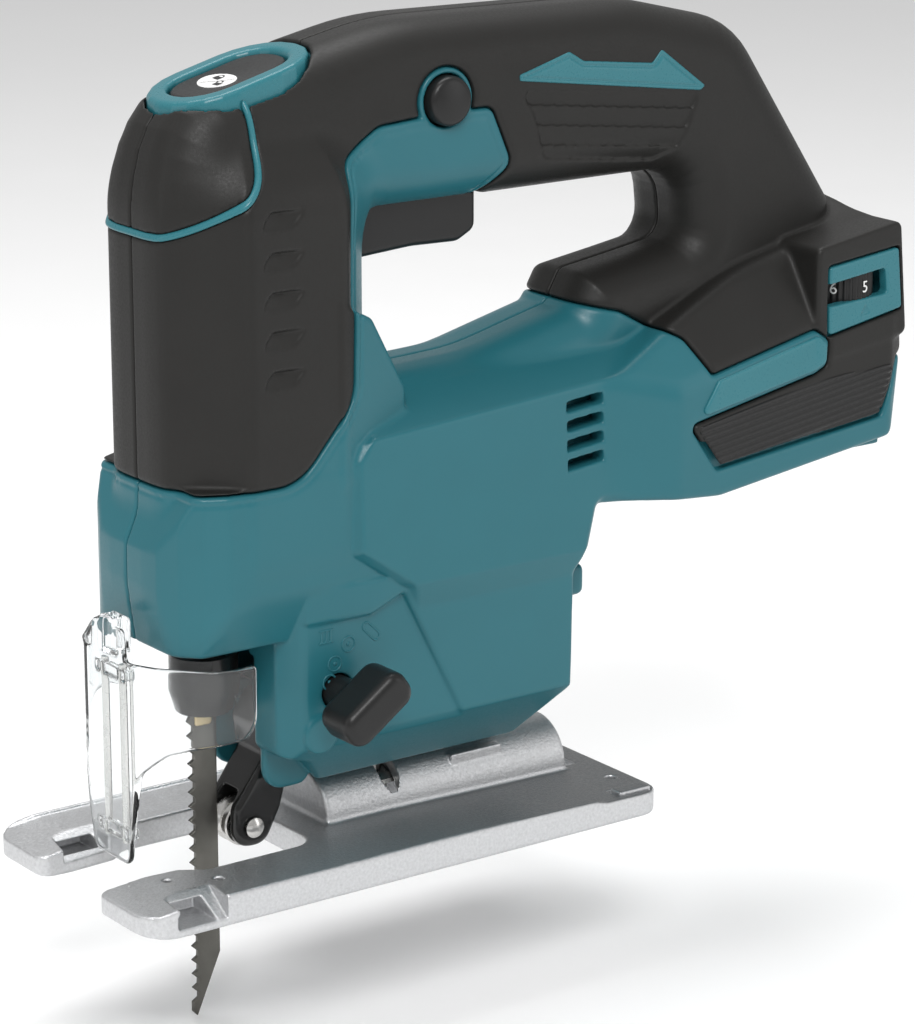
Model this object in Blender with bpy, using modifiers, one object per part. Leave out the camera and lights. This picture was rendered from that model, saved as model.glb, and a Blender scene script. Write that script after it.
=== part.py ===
"""Cordless D-handle jigsaw, built as an assembly of separate named pieces.

Frame: the blade end faces -X, the operator's left side faces -Y, +Z is up. The origin lies
on the sole's underside, in the middle of the base plate. Dimensions below are in millimetres
and are turned into metres when the meshes are made.
"""

import math

import bmesh
import bpy
from mathutils import Matrix, Vector

# ---------------------------------------------------------------- driving dimensions (mm)
MM = 0.001
GAP = 0.3                     # running gap between touching pieces

BASE_LENGTH = 156.4           # along X
BASE_WIDTH = 77.0             # along Y
BASE_HEIGHT = 7.8
SLOT_HALF = 15.0              # half the gap between the front prongs
SADDLE_RADIUS = 11.5          # tilt saddle, about TILT_Z
TILT_Z = 8.0
SADDLE_X = (-9.0, 67.0)

PLUNGER_X = -38.0             # line of the blade stroke, at y = 0
PLUNGER_RADIUS = 5.5
BLADE_HALF = 0.6
CRANK_Z = 124.0
PINION_Z = 98.0
FORK_X, FORK_Z = -20.0, 38.0  # pivot of the roller fork
ROLLER_X, ROLLER_Z = -28.5, 10.0
ROLLER_RADIUS = 6.0
LEVER_X, LEVER_Z = -14.8, 48.1
LEVER_TURN = 35.0             # how far the selector's knob is turned in the middle setting
BOLT_X = 12.0                 # the screw that locks the tilt of the sole
GRIP_SKIN = 2.0               # thickness of the soft overmould
WALL = 2.5                    # thickness of the hard shell

HANDLE_HALF = 17.5            # half the width of the D handle
SOCKET_Z = 98.0               # the flat face that the battery slides under

# Side outlines are (x, z, corner radius); plan outlines are (x, y, corner radius).
HANDLE_LOOP = [(-54, 96, 0), (-54, 195.5, 22), (12, 209.6, 90), (86, 208.8, 70), (121, 200.5, 24),
               (155, 151, 0), (155, 100, 0)]
FINGER_HOLE = [(-2, 163.5, 10), (103, 163.5, 9), (106, 145.5, 6), (65, 132, 25), (34, 123, 30),
               (-2, 122.5, 12)]
COLUMN_PLAN = [(-54, -11.3, 0), (-40, -27, 0), (-12, -27, 0), (0, -15, 0), (0, 15, 0),
               (-12, 27, 0), (-40, 27, 0), (-54, 11.3, 0)]
GUSSET = [(-14, 146, 0), (-3, 140.5, 3), (9, 121, 2), (9, 112, 0), (-14, 100, 0)]
NOSE_PLAN = [(-60, -27, 20), (8, -27, 0), (8, 27, 0), (-60, 27, 20)]
NOSE_SIDE = [(-57.5, 62.5, 1), (-59.8, 79, 1), (-59.5, 88, 3), (-54, 100.5, 1), (-53, 104, 0),
             (8, 104, 0), (8, 62.5, 0)]
BODY_SIDE = [(7, 135, 0), (-1, 119, 2), (-11.2, 106.5, 3), (-11.4, 82.8, 2), (4.3, 71.8, 2),
             (7, 63, 0), (56.5, 63, 1), (60, 70, 2), (64, 84, 2), (100, 84, 0), (100, 135, 0)]
BODY_END = [(-6, 124, 1), (-15, 120.5, 1), (-27.5, 114, 1), (-29.5, 73, 1), (-27, 64, 0),
            (-27, 60, 0), (27, 60, 0), (27, 64, 0), (29.5, 73, 1), (27.5, 114, 1),
            (15, 120.5, 1), (6, 124, 1)]
LOWER_SIDE = [(-30, 33, 2), (-20, 29, 2), (-12, 20.3, 3), (49, 20.3, 2), (57, 35, 2), (57, 76, 0),
              (-30, 76, 0)]
LOWER_END = [(-11.5, 20.3, 2), (-26.5, 36.2, 1), (-27.5, 76, 0), (27.5, 76, 0), (26.5, 36.2, 1),
             (11.5, 20.3, 2)]
BLOCK_SIDE = [(62, 84, 5), (100, 81, 10), (160, 88.5, 3), (164.5, 112, 4), (158.5, 153, 5),
              (135, 147.5, 6), (118, 139.5, 8), (88.5, 126, 6), (62, 113, 0)]
BLOCK_END = [(-34, 78, 0), (-34, 118, 3), (-22, 140, 4), (-6, 147, 4), (6, 147, 4), (22, 140, 4),
             (34, 118, 3), (34, 78, 0)]
BLOCK_PLAN = [(52, -24, 4), (86, -34, 12), (158, -34, 4), (168, -29, 0), (168, 29, 0), (158, 34, 4),
              (86, 34, 12), (52, 24, 4)]
GRIP_SIDE = [(-70, 103, 0), (-60, 103, 3), (-26, 103, 14), (-9.5, 122, 12), (-8, 178, 5),
             (4, 185.5, 6), (24, 187, 0), (38, 187, 3), (44.5, 172, 4), (37, 164, 2), (38, 160, 0),
             (50, 150, 0), (66, 141, 0), (67, 132.8, 1), (79, 130, 4), (92, 122.8, 3),
             (97, 113.6, 1), (131.5, 121, 1.5), (135.8, 118, 1.5), (163, 121, 1), (172, 121, 0),
             (172, 225, 0), (-70, 225, 0)]
LUG = [(-28.6, 20.7, 6), (-16, 20.7, 4), (-12, 30, 0), (-12, 44, 0), (-28.6, 40, 3)]

SCREWS = [(-49.5, 92, 20), (-13, 181, 10), (62, 187, 10), (114, 178, 10), (84, 106, 20),
          (49, 44, 18), (146, 109, 24)]      # (x, z, y of the head's seat)

TEAL = (0.035, 0.165, 0.195, 1.0)
BLACK = (0.018, 0.018, 0.019, 1.0)
GREY = (0.12, 0.12, 0.125, 1.0)
STEEL = (0.55, 0.55, 0.56, 1.0)
ALUMINIUM = (0.62, 0.63, 0.64, 1.0)
BRASS = (0.72, 0.56, 0.28, 1.0)
COPPER = (0.65, 0.30, 0.16, 1.0)
CLEAR = (0.85, 0.88, 0.88, 1.0)
WHITE = (0.85, 0.85, 0.84, 1.0)

for old in list(bpy.data.objects):
    bpy.data.objects.remove(old, do_unlink=True)


def collection(name):
    """A new collection in the scene."""
    made = bpy.data.collections.new(name)
    bpy.context.scene.collection.children.link(made)
    return made


PARTS = collection("jigsaw")
CUTTERS = collection("cutters")


# ---------------------------------------------------------------- shape helpers
def rounded(points, steps=3, least=0.0):
    """The outline through (a, b, radius) corners, with each radius drawn as an arc.

    A radius below the least one is left sharp, so that the outline can be inset by that much.
    """
    outline = []
    count = len(points)
    for index, (a, b, radius) in enumerate(points):
        corner = Vector((a, b))
        before = Vector(points[index - 1][:2]) - corner
        after = Vector(points[(index + 1) % count][:2]) - corner
        turn = before.angle(after)
        if radius <= least or turn > math.pi - 0.02:
            outline.append((a, b))
            continue
        reach = radius / math.tan(turn / 2)
        reach = min(reach, before.length * 0.49, after.length * 0.49)
        radius = reach * math.tan(turn / 2)
        middle = corner + (before.normalized() + after.normalized()).normalized() * (
            radius / math.sin(turn / 2))
        start = corner + before.normalized() * reach - middle
        sweep = start.angle_signed(corner + after.normalized() * reach - middle)
        for step in range(steps + 1):
            spoke = start.copy()
            spoke.rotate(Matrix.Rotation(-sweep * step / steps, 2))
            outline.append(tuple(middle + spoke))
    return outline


def box_outline(a0, b0, a1, b1):
    """A rectangular outline."""
    return [(a0, b0), (a1, b0), (a1, b1), (a0, b1)]


ALONG = {
    "X": Matrix(((0, 0, 1), (1, 0, 0), (0, 1, 0))).to_4x4(),    # outline in (y, z)
    "Y": Matrix(((1, 0, 0), (0, 0, -1), (0, 1, 0))).to_4x4(),   # outline in (x, z)
    "Z": Matrix.Identity(4),                                    # outline in (x, y)
}


def slab(name, outlines, axis, start, end, edge=0.0, inset=0.0, arcs=2):
    """A flat outline, extruded from start to end along an axis, its rims rounded by edge.

    The first outline is the outer one and the others are holes. Corners with a radius are
    drawn as arcs. A positive inset moves every face inwards by that distance, which is how
    the hollow of a shell is made.
    """
    curve = bpy.data.curves.new(name, "CURVE")
    curve.dimensions = "2D"
    curve.fill_mode = "BOTH"
    rim = max(edge - inset, 0.0)
    curve.extrude = (abs(end - start) / 2 - inset - rim) * MM
    curve.bevel_depth = rim * MM
    curve.bevel_resolution = max(arcs - 1, 0)
    curve.offset = -(rim + inset) * MM
    for index, outline in enumerate(outlines):
        if len(outline[0]) == 3:
            outline = rounded(outline, arcs, 0.0 if index else rim + inset)
        spline = curve.splines.new("POLY")
        spline.points.add(len(outline) - 1)
        for point, (a, b) in zip(spline.points, outline):
            point.co = (a * MM, b * MM, 0.0, 1.0)
        spline.use_cyclic_u = True
    middle = (start + end) / 2 * MM
    place = {"X": (middle, 0, 0), "Y": (0, middle, 0), "Z": (0, 0, middle)}[axis]
    holder = bpy.data.objects.new(name, curve)
    holder.matrix_world = Matrix.Translation(place) @ ALONG[axis]
    return meshed(holder, name)


def meshed(holder, name):
    """Turn a curve object into a welded mesh object in world space."""
    bpy.context.scene.collection.objects.link(holder)
    graph = bpy.context.evaluated_depsgraph_get()
    graph.update()
    mesh = bpy.data.meshes.new_from_object(holder.evaluated_get(graph))
    mesh.transform(holder.matrix_world)
    bpy.data.objects.remove(holder, do_unlink=True)
    made = bpy.data.objects.new(name, mesh)
    CUTTERS.objects.link(made)
    clean(made)
    return made


def clean(obj):
    """Weld coincident points, join flat faces and turn every face outwards."""
    work = bmesh.new()
    work.from_mesh(obj.data)
    bmesh.ops.remove_doubles(work, verts=work.verts, dist=0.00001)
    bmesh.ops.dissolve_degenerate(work, edges=work.edges, dist=0.00001)
    bmesh.ops.recalc_face_normals(work, faces=work.faces)
    work.to_mesh(obj.data)
    work.free()


def turned(name, profile, axis, centre, count=24):
    """A solid of revolution from (radius, height) pairs, top to bottom, about a line."""
    mesh = bpy.data.meshes.new(name)
    points = [(radius * MM, 0.0, height * MM) for radius, height in profile]
    mesh.from_pydata(points, [(i, i + 1) for i in range(len(points) - 1)], [])
    made = bpy.data.objects.new(name, mesh)
    CUTTERS.objects.link(made)
    screw = made.modifiers.new("turn", "SCREW")
    screw.steps = count
    screw.render_steps = count
    screw.use_merge_vertices = True
    screw.merge_threshold = 0.00001
    apply_modifiers(made)
    facing = {"X": Matrix.Rotation(math.pi / 2, 4, "Y"), "Y": Matrix.Rotation(-math.pi / 2, 4, "X"),
              "Z": Matrix.Identity(4)}[axis]
    made.data.transform(Matrix.Translation(Vector(centre) * MM) @ facing)
    clean(made)
    return made


def rod(name, axis, centre, radius, start, end, count=16, chamfer=0.0):
    """A cylinder from start to end, measured along its axis from the centre point."""
    profile = [(0, end), (radius - chamfer, end), (radius, end - chamfer),
               (radius, start + chamfer), (radius - chamfer, start), (0, start)]
    if chamfer <= 0:
        profile = [(0, end), (radius, end), (radius, start), (0, start)]
    return turned(name, profile, axis, centre, count)


def box(name, low, high, edge=0.0):
    """A box between two corners, with chamfered edges where edge is given."""
    work = bmesh.new()
    bmesh.ops.create_cube(work, size=1.0)
    size = Vector(high) - Vector(low)
    middle = (Vector(high) + Vector(low)) / 2
    bmesh.ops.scale(work, vec=size * MM, verts=work.verts)
    bmesh.ops.translate(work, vec=middle * MM, verts=work.verts)
    mesh = bpy.data.meshes.new(name)
    work.to_mesh(mesh)
    work.free()
    made = bpy.data.objects.new(name, mesh)
    CUTTERS.objects.link(made)
    if edge > 0:
        soften(made, edge)
    return made


def tube(name, points, radius, sides=2):
    """A round wire or bar through a list of points."""
    curve = bpy.data.curves.new(name, "CURVE")
    curve.dimensions = "3D"
    curve.bevel_depth = radius * MM
    curve.bevel_resolution = sides
    curve.use_fill_caps = True
    spline = curve.splines.new("POLY")
    spline.points.add(len(points) - 1)
    for point, place in zip(spline.points, points):
        point.co = (*(Vector(place) * MM), 1.0)
    return meshed(bpy.data.objects.new(name, curve), name)


def apply_modifiers(obj):
    """Replace an object's mesh by its evaluated mesh."""
    graph = bpy.context.evaluated_depsgraph_get()
    graph.update()
    mesh = bpy.data.meshes.new_from_object(obj.evaluated_get(graph))
    obj.modifiers.clear()
    obj.data = mesh


def soften(obj, width, segments=1, angle=40):
    """Chamfer or round the sharp edges."""
    bevel = obj.modifiers.new("edges", "BEVEL")
    bevel.width = width * MM
    bevel.segments = segments
    bevel.limit_method = "ANGLE"
    bevel.angle_limit = math.radians(angle)
    apply_modifiers(obj)
    return obj


def boolean(obj, others, operation):
    """Join, cut or intersect with other solids, which are used up."""
    for other in others:
        change = obj.modifiers.new("boolean", "BOOLEAN")
        change.operation = operation
        change.object = other
        change.solver = "EXACT"
        apply_modifiers(obj)
        bpy.data.objects.remove(other, do_unlink=True)
    clean(obj)
    return obj


def join(obj, *others):
    return boolean(obj, others, "UNION")


def cut(obj, *others):
    return boolean(obj, others, "DIFFERENCE")


def common(obj, *others):
    return boolean(obj, others, "INTERSECT")


def copy(obj):
    """A copy of a solid, for use as a tool on another piece."""
    made = bpy.data.objects.new(obj.name + "_copy", obj.data.copy())
    CUTTERS.objects.link(made)
    return made


def material(name, colour, roughness, metallic=0.0, alpha=1.0):
    """A plain Principled surface."""
    made = bpy.data.materials.new(name)
    made.use_nodes = True
    shader = made.node_tree.nodes["Principled BSDF"]
    shader.inputs["Base Color"].default_value = colour
    shader.inputs["Roughness"].default_value = roughness
    shader.inputs["Metallic"].default_value = metallic
    shader.inputs["Alpha"].default_value = alpha
    made.diffuse_color = colour
    return made


def finish(obj, name, colour, roughness, metallic=0.0, origin=(0, 0, 0), alpha=1.0):
    """Name a finished piece, give it a material, and put its origin on its axis."""
    obj.name = name
    obj.data.name = name
    CUTTERS.objects.unlink(obj)
    PARTS.objects.link(obj)
    point = Vector(origin) * MM
    obj.data.transform(Matrix.Translation(-point))
    obj.location = point
    obj.data.materials.clear()
    obj.data.materials.append(material(name, colour, roughness, metallic, alpha))
    obj.data.shade_smooth()
    obj.data.set_sharp_from_angle(angle=math.radians(35))
    return obj


# ---------------------------------------------------------------- housing and soft grip
def body_solid(inset, arcs):
    """The whole outer form of the tool, or its hollow when inset is positive."""
    loop = slab("loop", [HANDLE_LOOP, FINGER_HOLE], "Y", -HANDLE_HALF, HANDLE_HALF, 12.5, inset,
                arcs)
    column = slab("column", [COLUMN_PLAN], "Z", 70, 184, 16, inset, arcs)
    nose = common(
        slab("nose", [NOSE_PLAN], "Z", 40, 140, 0, inset, arcs + 1),
        slab("nose_side", [NOSE_SIDE], "Y", -40, 40, 0, inset, arcs))
    body = common(
        slab("body", [BODY_SIDE], "Y", -40, 40, 0, inset, arcs),
        slab("body_end", [BODY_END], "X", -35, 120, 0, inset, arcs))
    lower = common(
        slab("lower", [LOWER_SIDE], "Y", -40, 40, 0, inset, arcs),
        slab("lower_end", [LOWER_END], "X", -40, 70, 0, inset, arcs))
    block = common(
        slab("block", [BLOCK_SIDE], "Y", -60, 60, 0, inset, arcs),
        slab("block_end", [BLOCK_END], "X", 40, 180, 0, inset, arcs),
        slab("block_plan", [BLOCK_PLAN], "Z", 60, 180, 0, inset, arcs))
    gusset = slab("gusset", [GUSSET], "Y", -22, 22, 1, inset, arcs)
    return join(body, loop, column, gusset, nose, lower, block)


def half_space(side):
    """A box over one side of the parting plane, set back by half the gap."""
    near, far = sorted((side * GAP / 2, side * 90))
    return box("half", (-120, near, -60), (220, far, 260))


def housing_details(side):
    """Bosses, cheeks and rails that stand on one half of the shell."""
    def across(near, far):
        return sorted((side * near, side * far))
    bolt_boss = rod("bolt_boss", "Z", (BOLT_X, 0, 0), 7, 20.9, 36, 16)
    low, high = across(10.4, 25)
    lug_low, lug_high = across(10.2, 12.6)
    rail_low, rail_high = across(25.5, 30)
    roof_low, roof_high = across(GAP / 2, 30)
    details = [
        common(bolt_boss, half_space(side)),
        rod("fork_cheek", "Y", (FORK_X, 0, FORK_Z), 5, low, high, 12),
        slab("lug", [LUG], "Y", lug_low, lug_high, 0.8),
        box("rail", (92, rail_low, 85.5), (158, rail_high, 88.5)),
        box("socket_roof", (78, roof_low, SOCKET_Z), (160, roof_high, SOCKET_Z + WALL)),
    ]
    if side < 0:
        details.append(box("key_clip", (54, -21, 57.5), (65.5, -14.5, 66), 1))
    return details


def housing_openings():
    """Everything that passes through the hard shell."""
    tools = [
        rod("plunger_way", "Z", (PLUNGER_X, 0, 0), 11.5, 50, 71, 20),
        slab("trigger_way", [box_outline(-2.5, 148, 41.5, 172)], "Y", -9.6, 9.6),
        slab("ring_way", [[(-48, -15, 14), (-8, -15, 14), (-8, 15, 14), (-48, 15, 14)]], "Z", 187, 230,
             arcs=4),
        rod("lock_way", "Y", (24, 0, 190), 6.6, -30, 30),
        slab("fork_way", [[(-40, 18), (-12, 18), (-12, 44), (-22, 56), (-40, 56)]], "Y", -10, 10),
        rod("saddle_way", "X", (0, 0, TILT_Z), SADDLE_RADIUS + 0.8, -60, 80, 32),
        box("socket", (76, -29, 70), (180, 29, SOCKET_Z)),
        rod("shaft_way", "Y", (LEVER_X, 0, LEVER_Z), 4.6, -40, 9),
        rod("pivot_way", "Y", (FORK_X, 0, FORK_Z), 2.8, -15, 15, 12),
        rod("led_way", "Z", (-51, -8, 0), 2.4, 55, 72, 12),
        rod("hex_way", "X", (0, 9, 54), 2.6, 40, 80, 12),
        rod("bolt_way", "Z", (BOLT_X, 0, 0), 2.8, 10, 35, 12),
        box("dial_way", (135.6, -40, 124.8), (157.4, -14, 136.6)),
    ]
    for index in range(4):
        low = 94 + 5.0 * index
        for side in (-1, 1):
            near, far = sorted((side * 22, side * 40))
            tools.append(slab("vent", [[(54, low), (65.2, low + 1.2), (65.2, low + 4), (54, low + 2.9)]],
                              "Y", near, far))
    return tools


def housing_and_grips():
    """Two clamshell halves, each with its soft overmould, hollow inside."""
    skin = body_solid(0.0, 2)
    under_grip = body_solid(GRIP_SKIN + GAP, 2)
    hollow = body_solid(GRIP_SKIN + GAP + WALL, 1)
    grip_zone = slab("grip_zone", [GRIP_SIDE], "Y", -60, 60, arcs=3)
    grip = common(copy(skin), copy(grip_zone))
    cut(grip, body_solid(GRIP_SKIN, 2))
    shell = join(cut(skin, grip_zone), under_grip)
    grip_openings = [
        slab("trigger_way", [box_outline(-2.5, 148, 41.5, 172)], "Y", -9.6, 9.6),
        slab("ring_way", [[(-51, -18, 17), (-5, -18, 17), (-5, 18, 17), (-51, 18, 17)]], "Z", 183, 230,
             arcs=4),
        rod("lock_way", "Y", (24, 0, 190), 8.6, -30, 30),
        slab("dial_way", [[(133, 119), (161, 124), (161, 147), (133, 142)]], "Y", -40, -20),
    ]
    cut(grip, *grip_openings)
    halves = {}
    for side, word in ((-1, "left"), (1, "right")):
        half = common(copy(shell), half_space(side))
        cut(half, copy(hollow))
        for x, z, seat in SCREWS:
            start, end = sorted((side * GAP / 2, side * 60))
            join(half, common(rod("boss", "Y", (x, 0, z), 5.4, start, end, 12), copy(shell)))
        join(half, *housing_details(side))
        halves[word] = half
    tools = housing_openings()
    for half in halves.values():
        cut(half, *[copy(tool) for tool in tools])
    for x, z, seat in SCREWS:
        shank = rod("shank", "Y", (x, 0, z), 2.2, -14, seat + 1, 10)
        cut(halves["left"], copy(shank))
        cut(halves["right"], shank, rod("head", "Y", (x, 0, z), 3.9, seat - 2.6, 60, 10))
        if z > 110 or x > 120:
            cut(grip, rod("head", "Y", (x, 0, z), 4.4, 2, 60, 10))
    for word, half in halves.items():
        finish(half, "housing_" + word, TEAL, 0.42)
    for side, word in ((-1, "left"), (1, "right")):
        finish(common(copy(grip), half_space(side)), "grip_" + word, BLACK, 0.62)


# ---------------------------------------------------------------- sole plate and its lock
def base():
    """The die-cast sole with its two prongs, its tilt saddle and the lock beneath it."""
    half = BASE_LENGTH / 2
    side = BASE_WIDTH / 2
    plan = [(-half, -side, 8), (half, -side, 6), (half, side, 6), (-half, side, 8),
            (-half, 13.5, 3), (-56, SLOT_HALF, 0), (-50, 19, 4), (-18, 19, 6), (-18, -19, 6),
            (-50, -19, 4), (-56, -SLOT_HALF, 0), (-half, -13.5, 3)]
    plate = slab("base_plate", [plan], "Z", 0, BASE_HEIGHT, 1.2, arcs=3)
    start, end = SADDLE_X
    saddle = rod("saddle", "X", (0, 0, TILT_Z), SADDLE_RADIUS, start, end, 32, 0.8)
    cut(saddle, box("below", (-80, -40, -20), (80, 40, 4)))
    join(plate, saddle)
    tools = [
        rod("lock_bore", "X", (BOLT_X, 0, TILT_Z), 8, -9, 9, 24),
        box("lock_well", (BOLT_X - 9, -8, -2), (BOLT_X + 9, 8, TILT_Z)),
        box("lock_slot", (BOLT_X - 2.8, -10.7, TILT_Z), (BOLT_X + 2.8, 10.7, 22)),
        rod("saddle_notch", "X", (0, 0, TILT_Z), 9, 62, 72, 24),
    ]
    for y in (-1, 1):
        near, far = sorted((y * 24, y * 33))
        tools.append(box("underside_groove", (-48, near, -1), (66, far, 1.0)))
        near, far = sorted((y * 33, y * 42))
        tools.append(box("prong_pocket", (-69, near, 2.2), (-59, far, 5.8)))
        near, far = sorted((y * 10, y * 19))
        tools.append(box("prong_pocket", (-71, near, 2.2), (-62, far, 5.8)))
        tools.append(rod("hole", "Z", (-51, y * 26, 0), 1.2, 4, 10, 10))
        tools.append(rod("hole", "Z", (73, y * 23, 0), 1.6, -1, 10, 12))
    cut(plate, *tools)
    finish(plate, "base_plate", ALUMINIUM, 0.45, 0.9, (0, 0, TILT_Z))
    shoe = rod("base_lock_shoe", "X", (BOLT_X, 0, TILT_Z), 7.7, -8, 8, 24)
    cut(shoe, box("flat", (-20, -20, -20), (60, 20, 12.6)))
    cut(shoe, rod("bolt", "Z", (BOLT_X, 0, 0), 2.8, 0, 30, 12))
    finish(shoe, "base_lock_shoe", STEEL, 0.4, 0.9)
    bolt = rod("base_lock_bolt", "Z", (BOLT_X, 0, 0), 4.6, 8.8, 12.3, 6)
    join(bolt, rod("shank", "Z", (BOLT_X, 0, 0), 2.5, 12, 34.5, 12))
    cut(bolt, rod("socket", "Z", (BOLT_X, 0, 0), 2.3, 8, 10.5, 6))
    finish(bolt, "base_lock_bolt", STEEL, 0.35, 0.9)


# ---------------------------------------------------------------- dust guard
def guard():
    """The clear guard that wraps round the nose and slides up over it, with two wires."""
    outer = [(-38, -29.4, 0), (-52, -29.4, 10), (-62.6, -17, 3), (-65.6, -11, 2),
             (-65.6, 11, 2), (-62.6, 17, 3), (-52, 29.4, 10), (-38, 29.4, 0)]
    inner = [(-30, -28, 0), (-51.3, -28, 9), (-61.2, -16.4, 3), (-64.2, -10.4, 2),
             (-64.2, 10.4, 2), (-61.2, 16.4, 3), (-51.3, 28, 9), (-30, 28, 0)]
    front = [(-8.5, 8.3, 3), (8.5, 8.3, 3), (10.8, 21, 3), (12.5, 33, 4), (19, 39, 5), (31, 43, 4),
             (31, 61, 0), (8, 61, 1), (7, 69, 2), (-7, 69, 2), (-8, 61, 1), (-31, 61, 0),
             (-31, 43, 4), (-19, 39, 5), (-12.5, 33, 4), (-10.8, 21, 3)]
    body = slab("guard", [outer], "Z", 0, 80, arcs=3)
    cut(body, slab("inside", [inner], "Z", -5, 90, arcs=3))
    common(body, slab("front", [front], "X", -90, 0, arcs=2))
    for z in (15.5, 56.5):
        shelf = box("shelf", (-64.6, -6.8, z - 1.3), (-61.4, 6.8, z + 1.3))
        for y in (-4.2, 4.2):
            cut(shelf, rod("wire_hole", "Z", (-62.8, y, 0), 1.25, 0, 80, 10))
        join(body, shelf)
    finish(body, "dust_guard", CLEAR, 0.08, 0.0, alpha=0.35)
    for y, word in ((-4.2, "left"), (4.2, "right")):
        wire = rod("wire", "Z", (-62.8, y, 0), 0.95, 13, 59, 10)
        finish(wire, "guard_wire_" + word, STEEL, 0.3, 0.9)


# ---------------------------------------------------------------- blade, plunger, crank
def blade():
    """A toothed blade with its teeth forwards, and a plain shank held in the clamp."""
    back, front, gullet = PLUNGER_X + 3.0, PLUNGER_X - 5.2, PLUNGER_X - 3.7
    pitch, first, last = 3.75, 38.0, -36.0
    outline = [(back, 56.6), (back, -24), (front + 1.2, -40), (front - 0.1, -38.6)]
    count = int((first - last) / pitch)
    for index in range(count):
        z = last + pitch * index
        outline.append((front, z))
        outline.append((gullet, z + 0.9))
        outline.append((gullet + 0.1, z + 2.4))
    outline.append((front, last + pitch * count))
    outline.append((PLUNGER_X - 3.0, 42.5))
    outline.append((PLUNGER_X - 3.0, 56.6))
    piece = slab("blade", [outline[::-1]], "Y", -BLADE_HALF, BLADE_HALF)
    finish(piece, "blade", STEEL, 0.35, 0.9)


def plunger():
    """The stroking shaft with its yoke, the blade clamp at its foot and its two bushes."""
    x = PLUNGER_X
    shaft = rod("plunger", "Z", (x, 0, 0), PLUNGER_RADIUS, 58, 168, 20, 0.6)
    join(shaft, box("yoke", (x - 4.4, -15.8, 117), (x + 6.5, 15.8, 131), 1))
    cut(shaft, box("yoke_slot", (x - 1.5, -14.5, 120), (x + 9, 14.5, 128)))
    finish(shaft, "plunger", STEEL, 0.25, 0.95, (x, 0, CRANK_Z))
    core = rod("clamp_core", "Z", (x, 0, 0), 5.2, 43, 57.7, 20, 0.5)
    cut(core, box("blade_slit", (x - 3.4, -BLADE_HALF - GAP, 40), (x + 3.4, BLADE_HALF + GAP, 57)))
    finish(core, "clamp_core", BRASS, 0.35, 0.9, (x, 0, 50))
    profile = [(5.6, 57), (8.7, 57), (8.7, 46), (7.2, 41.5), (5.6, 41.5), (5.6, 57)]
    collar = turned("clamp_collar", profile, "Z", (x, 0, 0), 28)
    join(collar, box("tab", (x + 7.5, -2, 47), (x + 10.6, 2, 55), 0.6))
    finish(collar, "clamp_collar", BLACK, 0.45, 0.0, (x, 0, 50))
    for low, word in ((72, "lower"), (150, "upper")):
        profile = [(5.8, low + 8), (8, low + 8), (8, low), (5.8, low), (5.8, low + 8)]
        finish(turned("bush", profile, "Z", (x, 0, 0)), word + "_bush", BRASS, 0.4, 0.8)


def gear_outline(y, z, root, tip, teeth, steps=((0.0, 0), (0.25, 0), (0.4, 1), (0.65, 1))):
    """A toothed wheel's outline; each step is a share of the pitch and 0 at root or 1 at tip."""
    outline = []
    for index in range(teeth):
        for step, height in steps:
            radius = root + (tip - root) * height
            turn = 2 * math.pi * (index + step) / teeth
            outline.append((y + radius * math.cos(turn), z + radius * math.sin(turn)))
    return outline


def crank():
    """The crank gear with its eccentric pin, the counterweight and the gear frame."""
    rim = gear_outline(0, CRANK_Z, 20.4, 21.9, 44, ((0.0, 0), (0.5, 1)))
    gear = slab("crank_gear", [rim], "X", -21, -15)
    join(gear, rod("pin", "X", (0, 13, CRANK_Z), 3, -27.1, -20, 14),
         rod("axle", "X", (0, 0, CRANK_Z), 6, -16, -8.6, 16))
    finish(gear, "crank_gear", STEEL, 0.35, 0.9, (-18, 0, CRANK_Z))
    weight = slab("counterweight", [[(-16, 112, 3), (16, 112, 3), (16, 136, 3), (-16, 136, 3)]],
                  "X", -30.6, -27.6)
    cut(weight, slab("slot", [[(-13.5, 120, 3), (13.5, 120, 3), (13.5, 128, 3), (-13.5, 128, 3)]],
                     "X", -32, -26))
    finish(weight, "counterweight", GREY, 0.5, 0.6, (-29, 0, CRANK_Z))
    frame = slab("gear_frame", [[(-16, 72, 4), (16, 72, 4), (16, 158, 6), (-16, 158, 6)]],
                 "X", -14.5, -8.5)
    for low in (72, 150):
        join(frame, box("arm", (-47, -10, low), (-12, 10, low + 8), 1))
        cut(frame, rod("bore", "Z", (PLUNGER_X, 0, 0), 8.3, low - 2, low + 10, 20))
    cut(frame, rod("bore", "X", (0, 0, CRANK_Z), 10.8, -20, -5, 20),
        rod("bore", "X", (0, 0, PINION_Z), 5, -20, -5, 16))
    finish(frame, "gear_frame", ALUMINIUM, 0.5, 0.8)
    bearing("gear_bearing", CRANK_Z, 6.3, 10.5, -14.2, -9)


def bearing(name, z, inner, outer, start, end):
    """A ring bearing on an axis along X."""
    profile = [(inner, end), (outer, end), (outer, start), (inner, start), (inner, end)]
    finish(turned(name, profile, "X", (0, 0, z), 20), name, STEEL, 0.25, 0.95)


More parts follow.
